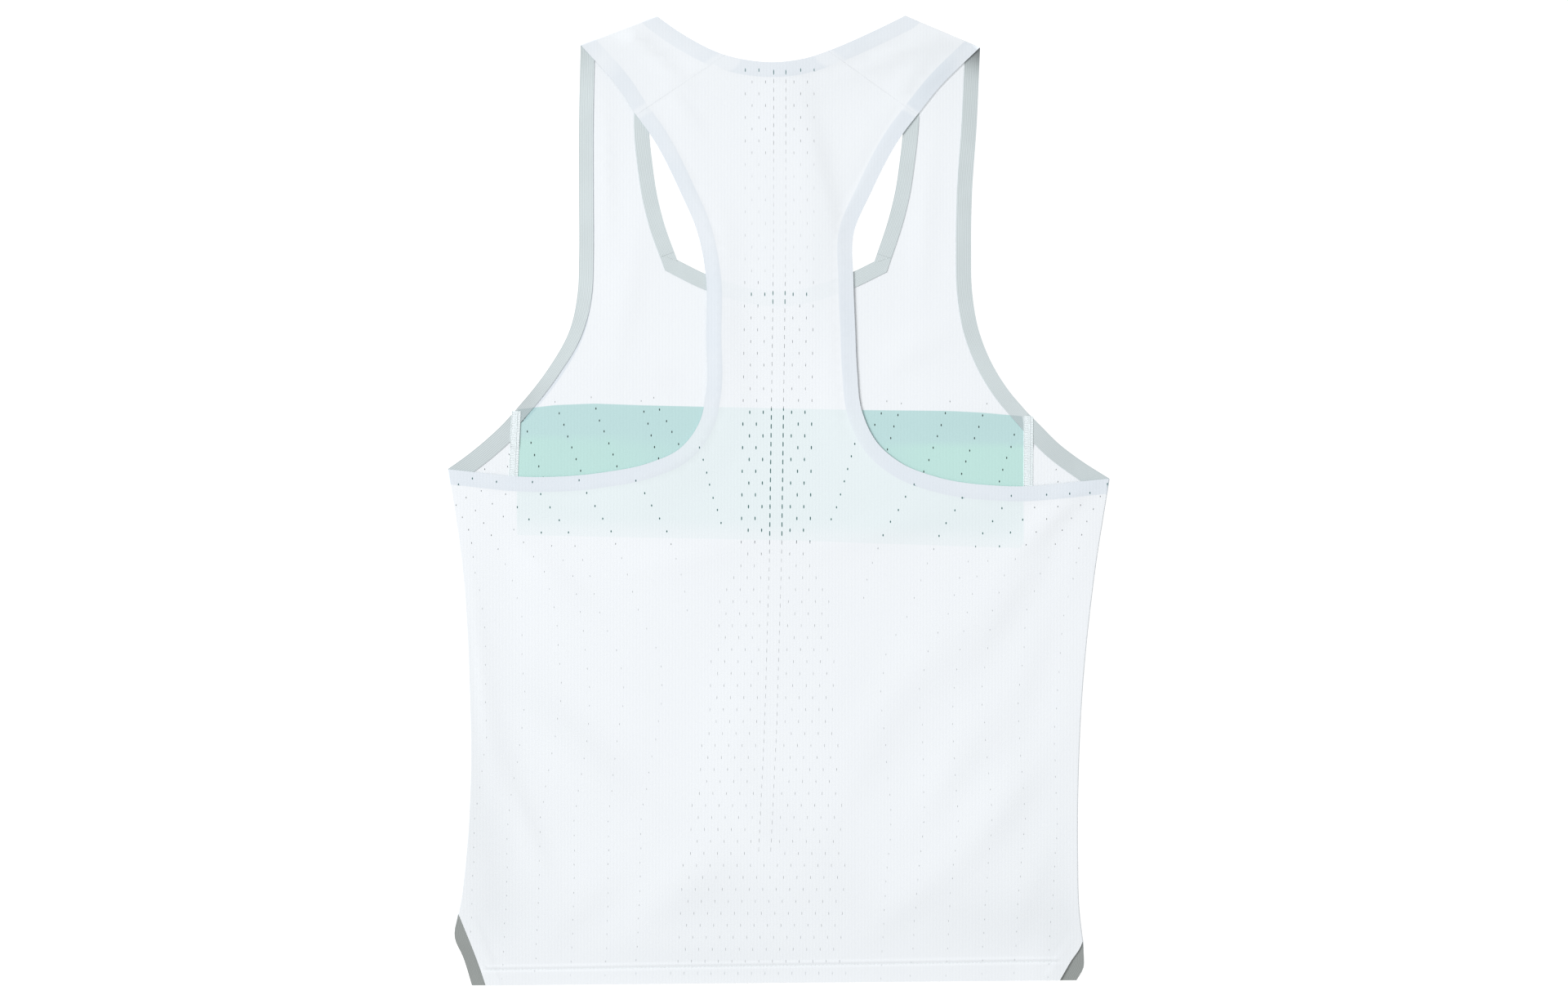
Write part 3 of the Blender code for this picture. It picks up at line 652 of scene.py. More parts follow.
def draw_edges():
    """Every edge in cut coordinates, each named for its side, running as its table does."""
    left_strap, rest = split_at(curve(NECK_BACK, EDGE_STEP), NECK_BACK[SEAM_PLACES[0]])
    middle, right_strap = split_at(rest, NECK_BACK[SEAM_PLACES[1]])
    edges = {"neck_back": trimmed(trimmed(middle)[::-1])[::-1], "neck_centre": curve(NECK_CENTRE, EDGE_STEP)}
    strap_necks = {-1: left_strap, 1: right_strap[::-1]}
    for side, name in SIDE_NAMES.items():
        armhole = on_side(BACK_ARMHOLE, side)
        over, down = split_at(curve(armhole, EDGE_STEP), armhole[SEAM_ROW])
        front = met(side_curve(FRONT_ARMHOLE, side), *upright(side, -GAP / 2))
        neck = side_curve(NECK_SIDE, side)
        for part, strap, rest in (("front_armhole", over, front), ("neck_side", strap_necks[side], neck)):
            edges[f"{part}_{name}"] = np.vstack([SHOULDERS[side].to_cut(trimmed(strap))[::-1], rest[1:]])
        down = wrap_to_cut(trimmed(down[::-1])[::-1], side, wing=False)
        wing = met(side_curve(WING_EDGE, side), *upright(side, GAP / 2))
        edges["back_armhole_" + name] = np.vstack([down, wrap_to_cut(wing, side, wing=True)[1:]])
        for part, table in (("back", VENT_BACK), ("front", VENT_FRONT)):
            edges[f"vent_{part}_{name}"] = wrap_to_cut(side_curve(table, side), side, wing=part == "front")
        edges["front_seam_" + name] = seam_line(side, -GAP / 2, front[-1][1])
        seam = seam_line(side, GAP / 2, wing[-1][1])
        edges["wing_seam_" + name] = wrap_to_cut(seam, side, wing=True)
        hem = level_line(hem_y, seam[-1][0], on_side(VENT_FRONT, side)[-1][0])
        edges["wing_hem_" + name] = wrap_to_cut(hem, side, wing=True)
    edges["back_hem"] = level_line(hem_y, VENT_BACK[-1].left_x, VENT_BACK[-1].right_x)
    ends = (edges["front_seam_" + name][-1][0] for name in SIDE_NAMES.values())
    edges["front_hem"] = level_line(hem_y, *ends)
    return edges


def joint(edge, back):
    """The two parts of an edge split at a distance from its end, a gap apart, and a line across each."""
    length = lengths(edge)
    cuts = length[-1] - back + np.array([-GAP / 2, GAP / 2])
    before, after = read_line(edge, length, cuts)
    across = left_of(after - before)
    upper = np.vstack([edge[length < cuts[0]], before])
    lower = np.vstack([after, edge[length > cuts[1]]])
    return upper, lower, (before, before + across), (after, after + across)


def draw_tapes(edges):
    """For each tape: its edge, which side of that edge it lies on, the lines at its ends and its panel."""
    tapes, corners, shoulder = {}, {}, {}
    for side, name in SIDE_NAMES.items():
        armhole, neck = edges["front_armhole_" + name], edges["neck_side_" + name]
        seam = (armhole[0], neck[0])
        tapes["armhole_tape_front_" + name] = armhole, -side, seam, upright(side, -GAP / 2), "front"
        upper, lower, end, start = joint(neck, NECK_JOINT)
        tapes["neck_tape_front_" + name] = upper, side, seam, end, "front"
        corners[side] = lower, start
        armhole = edges["back_armhole_" + name]
        shoulder[side] = armhole[0], edges["neck_back"][0 if side < 0 else -1]
        wing_seam = edges["wing_seam_" + name][:2]
        tapes["armhole_tape_back_" + name] = armhole, -side, shoulder[side], wing_seam, "back"
        back_hem = edges["back_hem"][:2] if side < 0 else edges["back_hem"][-2:]
        for part, turn, hem in (("back", -side, back_hem), ("front", side, edges["wing_hem_" + name][-2:])):
            vent, _, start, _ = joint(edges[f"vent_{part}_{name}"][::-1], VENT_START)
            tapes[f"vent_tape_{name}_{part}"] = vent[::-1], turn, start, hem, "back"
    centre = np.vstack([corners[-1][0], edges["neck_centre"][1:-1], corners[1][0][::-1]])
    tapes["neck_tape_front_centre"] = centre, -1, corners[-1][1], corners[1][1], "front"
    tapes["neck_tape_back"] = edges["neck_back"], -1, shoulder[-1], shoulder[1], "back"
    return tapes


def joined(*lines):
    """One outline from edges that follow each other, each shared corner kept once."""
    parts = []
    for line, after in zip(lines, (*lines[1:], lines[0])):
        shared = np.linalg.norm(line[-1] - after[0]) < SAME_CORNER
        parts.append(line[:-1] if shared else line)
    return np.vstack(parts)


def panel_outlines(edges):
    """The outline of each panel, in cut coordinates."""
    left, right = ({part[: -len(name) - 1]: line for part, line in edges.items() if part.endswith(name)}
                   for name in SIDE_NAMES.values())
    front = joined(
        left["front_armhole"], left["front_seam"], edges["front_hem"], right["front_seam"][::-1],
        right["front_armhole"][::-1], right["neck_side"], edges["neck_centre"][::-1],
        left["neck_side"][::-1],
    )
    back = joined(
        edges["neck_back"], right["back_armhole"], right["wing_seam"], right["wing_hem"],
        right["vent_front"][::-1], right["vent_back"], edges["back_hem"][::-1], left["vent_back"][::-1],
        left["vent_front"], left["wing_hem"][::-1], left["wing_seam"][::-1], left["back_armhole"][::-1],
    )
    return {"front": front, "back": back}


# ---------------------------------------------------------------- perforations


def columns(table, middle, pitch, top, rng):
    """Dots down loose columns, the same on both sides of a middle line."""
    spots = []
    for row in table:
        heights, reach = (np.array(part, float) for part in (COLUMN_HEIGHTS[: len(row)], row))
        first = reach[0] + (reach[0] - reach[1]) * (top - heights[0]) / (heights[0] - heights[1])
        heights, reach = np.append(heights[::-1], top), np.append(reach[::-1], first)
        for side in SIDES:
            y = top - rng.uniform(0, COLUMN_START)
            while y > heights[0]:
                shake = rng.uniform(-COLUMN_JITTER, COLUMN_JITTER, 2)
                x = read_at(middle, y) + side * np.interp(y, heights, reach)
                spots.append((x + shake[0], y + shake[1]))
                y -= read_at(pitch, y)
    return spots


def row_heights(top, end, pitch):
    """Heights of the rows from a top one down to an end, at a pitch that changes on the way."""
    heights = [top]
    while heights[-1] > end:
        heights.append(heights[-1] - read_at(pitch, heights[-1]))
    return heights[:-1]


def ladder_and_field():
    """The dashes of the ladder, and the staggered dots beside and below it."""
    dashes, dots = [], []
    for y in row_heights(LADDER_TOP, LADDER_END, LADDER_PITCH):
        dashes += [(read_at(LADDER, y) + side * LADDER_HALF, y) for side in SIDES]
    for row, y in enumerate(row_heights(FIELD_TOP, SIDE_FOLD[-1].y, FIELD_ROW)):
        first = FIELD_PITCH / 2 if row % 2 == 0 else 0.0
        if y > LADDER_END:
            first += FIELD_FIRST
        for reach in np.arange(first, read_at(FIELD_REACH, y), FIELD_PITCH):
            sides = SIDES if reach > 0 else (1,)
            dots += [(read_at(LADDER, y) + side * reach, y) for side in sides]
    return dashes, dots


def ring(spot, size):
    """The outline of a hole."""
    angle = (np.arange(HOLE_POINTS) + 0.5) * 2 * math.pi / HOLE_POINTS
    return np.column_stack([spot[0] + np.cos(angle) * size[0] / 2, spot[1] + np.sin(angle) * size[1] / 2])


def perforate(spots, size, loop, kept, growth):
    """Holes that lie inside an outline, clear of it and of the ones kept before: middles and outlines."""
    spots = np.array(spots)
    spots = spots[inside(spots, loop)]
    outline = tree_of(curve(np.vstack([loop, loop[:1]]), FIELD_STEP))
    fresh = []
    for x, y in spots[nearest(spots, outline) > HOLE_CLEARANCE].tolist():
        if all(abs(x - a) + abs(y - b) > HOLES_APART for a, b in kept + fresh):
            fresh.append((x, y))
    return fresh, [ring(spot, (size[0] * read_at(growth, spot[1]), size[1])) for spot in fresh]


def panel_holes(panel, loop, rng):
    """Middles and outlines of all of a panel's holes."""
    if panel == "back":
        dashes, field = ladder_and_field()
        loose = columns(BACK_COLUMNS, LADDER, BACK_PITCH, BACK_COLUMN_TOP, rng)
        spread, growth = ((dashes, DASH), (field, FIELD_DOT), (loose, DOT)), HOLE_GROWTH
    else:
        loose = columns(FRONT_COLUMNS, FRONT_LINE, FRONT_PITCH, FRONT_COLUMN_TOP, rng)
        spread, growth = ((loose, DOT),), FRONT_GROWTH
    holes, rings = [], []
    for spots, size in spread:
        fresh, some = perforate(spots, size, loop, holes, growth)
        holes, rings = holes + fresh, rings + some
    return holes, rings


# ---------------------------------------------------------------- meshes


def inside(points, loop):
    """Which points lie inside a closed outline."""
    x, y = points.T
    result = np.zeros(len(points), bool)
    for (x0, y0), (x1, y1) in zip(loop, np.roll(loop, -1, axis=0)):
        if y0 != y1:
            crosses = (y0 > y) != (y1 > y)
            result ^= crosses & (x < (x1 - x0) * (y - y0) / (y1 - y0) + x0)
    return result


def grid(loop, spacing, lines, holes=()):
    """Staggered points inside a loop, clear of it, of the lines and of the holes."""
    low, high = loop.min(axis=0), loop.max(axis=0)
    rows = []
    for row, y in enumerate(np.arange(low[1], high[1], spacing * ROW_RISE)):
        x = np.arange(low[0] + (row % 2) * spacing / 2, high[0], spacing)
        rows.append(np.column_stack([x, np.full(len(x), y)]))
    points = np.concatenate(rows)
    points = points[inside(points, loop)]
    points = points[nearest(points, tree_of(np.concatenate([loop, *lines]))) > spacing * GRID_CLEARANCE]
    if len(holes):
        points = points[nearest(points, tree_of(holes)) > GRID_FROM_HOLE]
    return points


def triangulate(loop, lines=(), loose=(), rings=()):
    """Triangles that fill a loop, with edges along the lines and with the rings left open."""
    points, edges = list(loop), [(i, (i + 1) % len(loop)) for i in range(len(loop))]
    for line in lines:
        first = len(points)
        points.extend(line)
        edges.extend((i, i + 1) for i in range(first, len(points) - 1))
    for line in rings:
        first, count = len(points), len(line)
        points.extend(line)
        edges.extend((first + i, first + (i + 1) % count) for i in range(count))
    points.extend(loose)
    flat = [Vector((float(x), float(y))) for x, y in points]
    result = delaunay_2d_cdt(flat, edges, [], 0, WELD, False)
    spots, faces = np.array([tuple(v) for v in result[0]]), np.array(result[2])
    middles = spots[faces].mean(axis=1)
    kept = inside(middles, loop)
    if len(rings):
        centres, sizes = (np.array([measure(line, axis=0) for line in rings])
                          for measure in (np.mean, np.ptp))
        tree = tree_of(centres)
        at = [tree.find((x, y, 0.0))[1] for x, y in middles]
        kept &= (((middles - centres[at]) / (sizes[at] / 2)) ** 2).sum(axis=1) > HOLE_OPEN
    faces = faces[kept]
    a, b, c = (spots[faces[:, k]] for k in range(3))
    turn = (b[:, 0] - a[:, 0]) * (c[:, 1] - a[:, 1]) - (b[:, 1] - a[:, 1]) * (c[:, 0] - a[:, 0])
    faces[turn < 0] = faces[turn < 0][:, ::-1]
    used, renumbered = np.unique(faces, return_inverse=True)
    return spots[used], renumbered.reshape(faces.shape), float(np.abs(turn).sum() / 2)


def add_object(name, points, polygons, material, normals=None):
    """An object from points in millimetres, with a normal for each corner of its polygons if given."""
    mesh = bpy.data.meshes.new(name)
    points = np.asarray(points, float) + (*SHIFT, 0.0)
    mesh.from_pydata((points * MM).tolist(), [], polygons)
    mesh.materials.append(material)
    mesh.shade_smooth()
    if normals is not None:
        mesh.normals_split_custom_set(normals.tolist())
    thing = bpy.data.objects.new(name, mesh)
    bpy.context.collection.objects.link(thing)
    return thing


def add_piece(name, points, polygons, look, normals=None):
    """A piece of the garment's own body."""
    thing = add_object(name, points, polygons, look, normals)
    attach(thing, "root")
    return thing


def make_wall(name, spots, faces, place, offset, thickness, material, fields=None):
    """A piece: filled outline folded into place, offset along its normal and given its thickness.

    The fields are values at its points that its material reads.
    """
    middle = place(spots)
    slope_x, slope_y = (place(spots + step) - place(spots - step) for step in np.eye(2) * NORMAL_PROBE)
    normal = np.cross(slope_x, slope_y)
    normal /= np.linalg.norm(normal, axis=1)[:, None]
    count = len(spots)
    points = np.concatenate([middle + normal * (offset + half) for half in (thickness / 2, -thickness / 2)])
    sides = faces[:, [0, 1, 1, 2, 2, 0]].reshape(-1, 2)
    key, mirror = sides[:, 0] * count + sides[:, 1], sides[:, 1] * count + sides[:, 0]
    a, b = sides[~np.isin(key, mirror)].T
    polygons = faces.tolist() + (faces[:, ::-1] + count).tolist()
    polygons += np.column_stack([b, a, a + count, b + count]).tolist()
    outward = np.cross(points[a] - points[b], points[b + count] - points[b])
    outward /= np.linalg.norm(outward, axis=1)[:, None]
    upper, lower = normal[faces].reshape(-1, 3), -normal[faces[:, ::-1]].reshape(-1, 3)
    corners = np.concatenate([upper, lower, outward.repeat(4, axis=0)])
    thing = add_piece(name, points, polygons, material, corners)
    for field, values in (fields or {}).items():
        layer = thing.data.attributes.new(field, "FLOAT", "POINT")
        layer.data.foreach_set("value", np.tile(values, 2).astype(np.float32))
    return thing


def tube(path):
    """Points and faces of a closed tube of thread along a path that nowhere stands upright."""
    along = np.gradient(path, axis=0)
    other = np.cross(along, (0, 0, 1.0))
    third = np.cross(other, along)
    other, third = (step / np.linalg.norm(step, axis=1)[:, None] for step in (other, third))
    angle = (np.arange(TUBE_SIDES) * 2 * math.pi / TUBE_SIDES)[:, None]
    rings = path[:, None] + THREAD * (np.cos(angle) * other[:, None] + np.sin(angle) * third[:, None])
    ends = np.arange(TUBE_SIDES), np.arange(TUBE_SIDES) + (len(path) - 1) * TUBE_SIDES
    polygons = [tuple(ends[0][::-1]), tuple(ends[1])]
    for i in range(0, ends[1][0], TUBE_SIDES):
        for k in range(TUBE_SIDES):
            n = (k + 1) % TUBE_SIDES
            polygons.append((i + k, i + n, i + TUBE_SIDES + n, i + TUBE_SIDES + k))
    return rings.reshape(-1, 3), polygons


def add_threads(name, paths, material):
    """One piece with a thread along each path."""
    points, polygons = [], []
    for path in paths:
        spots, faces = tube(path)
        polygons += [tuple(int(i) + len(points) for i in face) for face in faces]
        points.extend(spots)
    return add_piece(name, points, polygons, material)


# ---------------------------------------------------------------- materials


def linear(red, green, blue, kept=1.0):
    """The colour of a surface that is seen as this one, 0 to 255, where it faces up in this light.

    kept is the share of the light that the surface doesn't let through or lose in its relief.
    """
    channels = (c / 255 for c in (red, green, blue))
    bright = (c / 12.92 if c <= 0.04045 else ((c + 0.055) / 1.055) ** 2.4 for c in channels)
    return tuple(c / (LIGHT * kept) for c in bright)


def scaled(tone, share):
    return tuple(c * share for c in tone)


LIGHT = 1.12  # what a perfectly white surface that faces up sends to the camera
CLOTH_KEEPS, TAPE_KEEPS = 0.99, 0.97
WHITE = linear(242.4, 246.2, 250, CLOTH_KEEPS)
SEAM_WHITE = linear(244, 252, 255, CLOTH_KEEPS)
THREAD_WHITE = linear(246, 255, 255)
PAINTED_SHADE_TONE = (0.925, 0.93, 0.93)  # what the cloth keeps of its white under the fullest painted shade
# How much painted shade the cloth has at heights up the garment, most toward the neck and some toward the hem
PAINTED_SHADE_AT = rows(Place, (-352, 0.15), (-320, 0.25), (-150, 0), (60, 0), (200, 0.1), (270, 0.2), (330, 0.5))
WING_PAINTED_SHADES = (0.25, -0.2)  # painted shade on the wings, left and right; below 0 it takes painted shade away
PAINTED_SHADE_HIDES = 0.6  # the share of a tape's tint that goes where the upper part has the fullest painted shade
EDGE_TINT = (0.86, 0.892, 0.925)  # how a tape inside colours the cloth over it
BAND_TINT = (0.905, 0.96, 0.95)  # how the front's printed band colours the back over it
TAPE_GHOST = (0.975, 0.985, 0.985)  # and how the front's neck tape does
BAND_SHADE = linear(104, 152, 152)  # painted shade round the back's holes over the band or a tape
BAND_UPPER = linear(191, 223, 223, CLOTH_KEEPS)
BAND_LOWER = linear(193, 230, 223, CLOTH_KEEPS)
BAND_CUT = linear(40, 62, 58)
MINT_START, MINT_RISE = 40, 90  # the lower tone begins this far from the middle and rises over that distance
GREY_TAPE = linear(210.5, 220.5, 222.5, TAPE_KEEPS)
TAPE_DULL = 0.025  # how much darker all the grey tapes but the left armhole's are
# The grey tape darkened with painted shade, where the back's armhole tapes lie on the wings
SHADED_WING_TAPE = linear(201, 211, 213, TAPE_KEEPS)
BAND_TAPE = linear(178, 195, 198, TAPE_KEEPS)
DARK_TAPE = linear(151, 156, 154, TAPE_KEEPS)
KNIT_ROUGHNESS, KNIT_SHEEN = 0.78, 0.12
WALE_PITCH, TAPE_RIBS = 0.8, 1.1  # the ribs of the knit and of the tapes
WALE_WANDER = 0.6
GRAIN, TAPE_GRAIN, THREAD_GRAIN = 900.0, 500.0, 2500.0  # scales of the noise in their relief
RELIEF, THREAD_RELIEF = 0.00004, 0.00003  # metres
BLOTCH = (0.3, 0.7)  # the part of a noise that turns into soft spots
Blotch = namedtuple("Blotch", "scale tone")  # of the noise, and how much of the light the spots keep
KNIT_BLOTCH, TAPE_BLOTCH = Blotch(7.0, 0.985), Blotch(26.0, 0.955)
SEAM_BLOTCH, THREAD_BLOTCH = Blotch(60.0, 0.97), Blotch(700.0, 0.93)
BAND_BLOTCH, BAND_BLOTCH_TONE = 0.35, 0.94  # share of the knit's spots in the print, and their tone
TINT_LEAST, TINT_VARIES, TINT_SCALE = 0.4, 1.1, 16.0  # a tape's tint is uneven, by a noise of this scale
BAND_EDGE, TAPE_EDGE, SEAM_EDGE, GHOST_EDGE = 0.4, 0.5, 1.6, 0.8  # how soft the fields' edges are
TAPE_RIM = (1.0, 0.2)  # a tape darkens between these distances from its edge
TAPE_RIM_SHARE, TAPE_RIM_TONE = 0.6, 0.9
BAND_OVER_TAPE = 0.8  # how much of the band a tape takes on
HOLE_RIM = (HOLE_MARGIN * 0.9, HOLE_MARGIN * 0.5)  # the dark rim round a hole fades between these
FLOOR_TONES = (0.24, 0.24, 0.24), (0.26, 0.26, 0.26)
# the cards' painted shade, seen through the holes
SHADE_CARD_TONES = (0.30, 0.33, 0.33), (0.34, 0.36, 0.36)


class Nodes:
    """A material's nodes, added one by one."""

    def __init__(self, name, roughness, sheen=0.0, gloss=0.3):
        self.material = bpy.data.materials.new(name)
        self.material.use_nodes = True
        self.tree = self.material.node_tree
        self.shader = self.tree.nodes["Principled BSDF"].inputs
        self.shader["Roughness"].default_value = roughness
        self.shader["Sheen Weight"].default_value = sheen
        self.shader["Specular IOR Level"].default_value = gloss

    def put(self, socket, value):
        if isinstance(value, bpy.types.NodeSocket):
            self.tree.links.new(value, socket)
        else:
            socket.default_value = (*value, 1.0) if isinstance(value, tuple) else value

    def add(self, kind, inputs=(), **settings):
        """A node with some settings, and with values or links for some of its inputs."""
        node = self.tree.nodes.new("ShaderNode" + kind)
        for key, value in settings.items():
            setattr(node, key, value)
        for key, value in dict(inputs).items():
            self.put(node.inputs[key], value)
        return node

    def field(self, name):
        return self.add("Attribute", attribute_name=name).outputs["Fac"]

    def ramp(self, value, start, end):
        """0 at start, 1 at end, smooth between."""
        inputs = {"Value": value, "From Min": start, "From Max": end}
        return self.add("MapRange", inputs, interpolation_type="SMOOTHSTEP").outputs["Result"]

    def within(self, name, soft):
        """1 where a field is above 0, and a soft edge on each side of that."""
        return self.ramp(self.field(name), -soft, soft)

    def math(self, operation, first, second=0.0):
        return self.add("Math", {0: first, 1: second}, operation=operation).outputs[0]

    def times(self, first, *others):
        for other in others:
            first = self.math("MULTIPLY", first, other)
        return first

    def mix(self, share, first, second, how="MIX"):
        inputs = {0: share, 6: first, 7: second}
        return self.add("Mix", inputs, data_type="RGBA", blend_type=how).outputs[2]

    def tinted(self, tone, share, tint):
        return self.mix(share, tone, tint, "MULTIPLY")

    def place(self):
        """Where a point is on its object."""
        return self.add("TexCoord").outputs["Object"]

    def noise(self, scale, detail=2.0, stretch=(1, 1, 1)):
        spread = self.add("Mapping", {"Vector": self.place()})
        spread.inputs["Scale"].default_value = stretch
        inputs = {"Vector": spread.outputs[0], "Scale": scale, "Detail": detail}
        return self.add("TexNoise", inputs).outputs[0]

    def wales(self):
        """The fine ribs of the knit. The angle of the wave texture grows by 20 times its scale in a metre."""
        scale = 2 * math.pi / (20 * WALE_PITCH * MM)
        inputs = {"Vector": self.place(), "Scale": scale, "Distortion": WALE_WANDER}
        return self.add("TexWave", inputs, bands_direction="X").outputs["Fac"]

    def glow(self, tone, strength):
        self.put(self.shader["Emission Color"], tone)
        self.put(self.shader["Emission Strength"], strength)

    def finish(self, tone, height=None, distance=RELIEF):
        """The material with this colour, and with this relief if there is any."""
        self.put(self.shader["Base Color"], tone)
        if height is not None:
            relief = self.add("Bump", {"Height": height, "Distance": distance})
            self.put(self.shader["Normal"], relief.outputs[0])
        return self.material


def cloth_material(name, printed):
    """White knit, greyer over its tapes. The front carries the printed band, which shows through the back."""
    nodes = Nodes(name, KNIT_ROUGHNESS, KNIT_SHEEN)
    blotch = nodes.ramp(nodes.noise(KNIT_BLOTCH.scale), *BLOTCH)
    colour = nodes.mix(blotch, WHITE, scaled(WHITE, KNIT_BLOTCH.tone))
    banded = nodes.within("band", BAND_EDGE)
    taped = nodes.ramp(nodes.field("tape"), TAPE_WIDTH + TAPE_EDGE, TAPE_WIDTH - TAPE_EDGE)
    seamless = nodes.times(nodes.within("seam", SEAM_EDGE), 1 - SEAM_KEEPS)
    taped = nodes.times(taped, nodes.math("ADD", SEAM_KEEPS, seamless))
    # painted_shade is painted shade: light falling off up and down the garment, and soft shades beside the
    # folds
    tint, painted_shade = nodes.field("tint"), nodes.field("painted_shade")
    cut = nodes.ramp(nodes.field("hole"), *HOLE_RIM)
    if printed:
        # painted light: the front glows beside the right strap's edge, lifting its shadow
        nodes.glow(WHITE, nodes.field("through"))
        tone = nodes.mix(nodes.field("mint"), BAND_UPPER, BAND_LOWER)
        tone = nodes.mix(nodes.times(blotch, BAND_BLOTCH), tone, scaled(BAND_UPPER, BAND_BLOTCH_TONE))
        colour = nodes.mix(banded, colour, nodes.mix(cut, tone, BAND_CUT))
        colour = nodes.tinted(colour, painted_shade, PAINTED_SHADE_TONE)
    else:
        bare = nodes.math("SUBTRACT", 1.0, nodes.times(taped, tint))  # where no tape hides what lies below
        ghost = nodes.within("ghost", GHOST_EDGE)
        colour = nodes.tinted(colour, painted_shade, PAINTED_SHADE_TONE)
        colour = nodes.tinted(colour, nodes.times(banded, bare, nodes.field("print")), BAND_TINT)
        colour = nodes.tinted(colour, nodes.times(ghost, bare), TAPE_GHOST)
        backed = nodes.math("MAXIMUM", nodes.math("MAXIMUM", banded, taped), ghost)
        # painted shade round the back's holes where the band or a tape lies under them
        colour = nodes.mix(nodes.times(cut, backed), colour, BAND_SHADE)
    uneven = nodes.math("ADD", TINT_LEAST, nodes.times(nodes.noise(TINT_SCALE), TINT_VARIES))
    colour = nodes.tinted(colour, nodes.times(taped, nodes.times(uneven, tint)), EDGE_TINT)
    return nodes.finish(colour, nodes.math("ADD", nodes.wales(), nodes.noise(GRAIN, stretch=(1, 0.5, 1))))


def tape_material(name, tone):
    """Bonded tape: satin grey film with faint ribs along it."""
    nodes = Nodes(name, roughness=0.5)
    blotch = nodes.ramp(nodes.noise(TAPE_BLOTCH.scale, detail=3.0), *BLOTCH)
    colour = nodes.mix(blotch, tone, scaled(tone, TAPE_BLOTCH.tone))
    rim = nodes.times(nodes.ramp(nodes.field("across"), *TAPE_RIM), TAPE_RIM_SHARE)
    colour = nodes.mix(rim, colour, scaled(tone, TAPE_RIM_TONE))
    colour = nodes.mix(nodes.times(nodes.within("band", BAND_EDGE), BAND_OVER_TAPE), colour, BAND_TAPE)
    colour = nodes.mix(nodes.field("shade"), colour, (0.0, 0.0, 0.0))
    ribs = nodes.math("SINE", nodes.times(nodes.field("across"), 2 * math.pi / TAPE_RIBS))
    return nodes.finish(colour, nodes.math("ADD", ribs, nodes.noise(TAPE_GRAIN)))


def plain_material():
    """The same knit where it is turned in or overlocked."""
    nodes = Nodes("turned_knit", KNIT_ROUGHNESS, KNIT_SHEEN)
    colour = nodes.mix(nodes.noise(SEAM_BLOTCH.scale), SEAM_WHITE, scaled(SEAM_WHITE, SEAM_BLOTCH.tone))
    return nodes.finish(colour, nodes.math("ADD", nodes.wales(), nodes.noise(GRAIN)))


def thread_material():
    nodes = Nodes("thread", roughness=0.6, sheen=0.2)
    tone = scaled(THREAD_WHITE, THREAD_BLOTCH.tone)
    colour = nodes.mix(nodes.noise(THREAD_BLOTCH.scale), THREAD_WHITE, tone)
    return nodes.finish(colour, nodes.noise(THREAD_GRAIN), THREAD_RELIEF)


def floor_material():
    """A bright white table that hides the garment's thin shadow."""
    nodes = Nodes("floor", roughness=0.9, gloss=0.0)
    nodes.glow((1.0, 1.0, 1.0), FLOOR_GLOW)
    return nodes.finish(nodes.mix(nodes.noise(3.0), *FLOOR_TONES))


# Dark grey cards: painted shade under the garment, seen through its holes
def shade_card_material():
    nodes = Nodes("card", roughness=0.9)
    return nodes.finish(nodes.mix(nodes.noise(40.0), *SHADE_CARD_TONES))


# ---------------------------------------------------------------- the garment


def band_depth(x, y):
    """How far points lie inside the printed band; less than 0 is outside."""
    high, low = height_on(BAND_TOP, x) - y, y - height_on(BAND_FOOT, x)
    return np.minimum.reduce([high, low, x - BAND_ENDS[0], BAND_ENDS[1] - x])


def band_mint(x, y):
    """Share of the band's lower, greener tone, which fades to the middle of the chest."""
    low = smooth((height_on(BAND_CHANGE, x) + BAND_BLEND - y) / (2 * BAND_BLEND))
    return low * smooth((np.abs(x - FRONT_MIDDLE) - MINT_START) / MINT_RISE)


def seam_field(panel, points, folded):
    """How far points lie from the allowances of the shoulder seams, which hide the tapes there."""
    clear = np.full(len(points), FAR)
    for side, (a, b) in SHOULDER_SEAMS.items():
        at = int(side > 0)
        if panel == "front":
            reach = np.where(folded, FRONT_ALLOWANCE[at], -FAR)
        else:
            spread = (NECK_ALLOWANCE[at] - ARMHOLE_ALLOWANCE[at]) * share_along(points, a, b)
            reach = ARMHOLE_ALLOWANCE[at] + spread
        clear = np.minimum(clear, from_segment(points, a, b) - reach)
    return clear


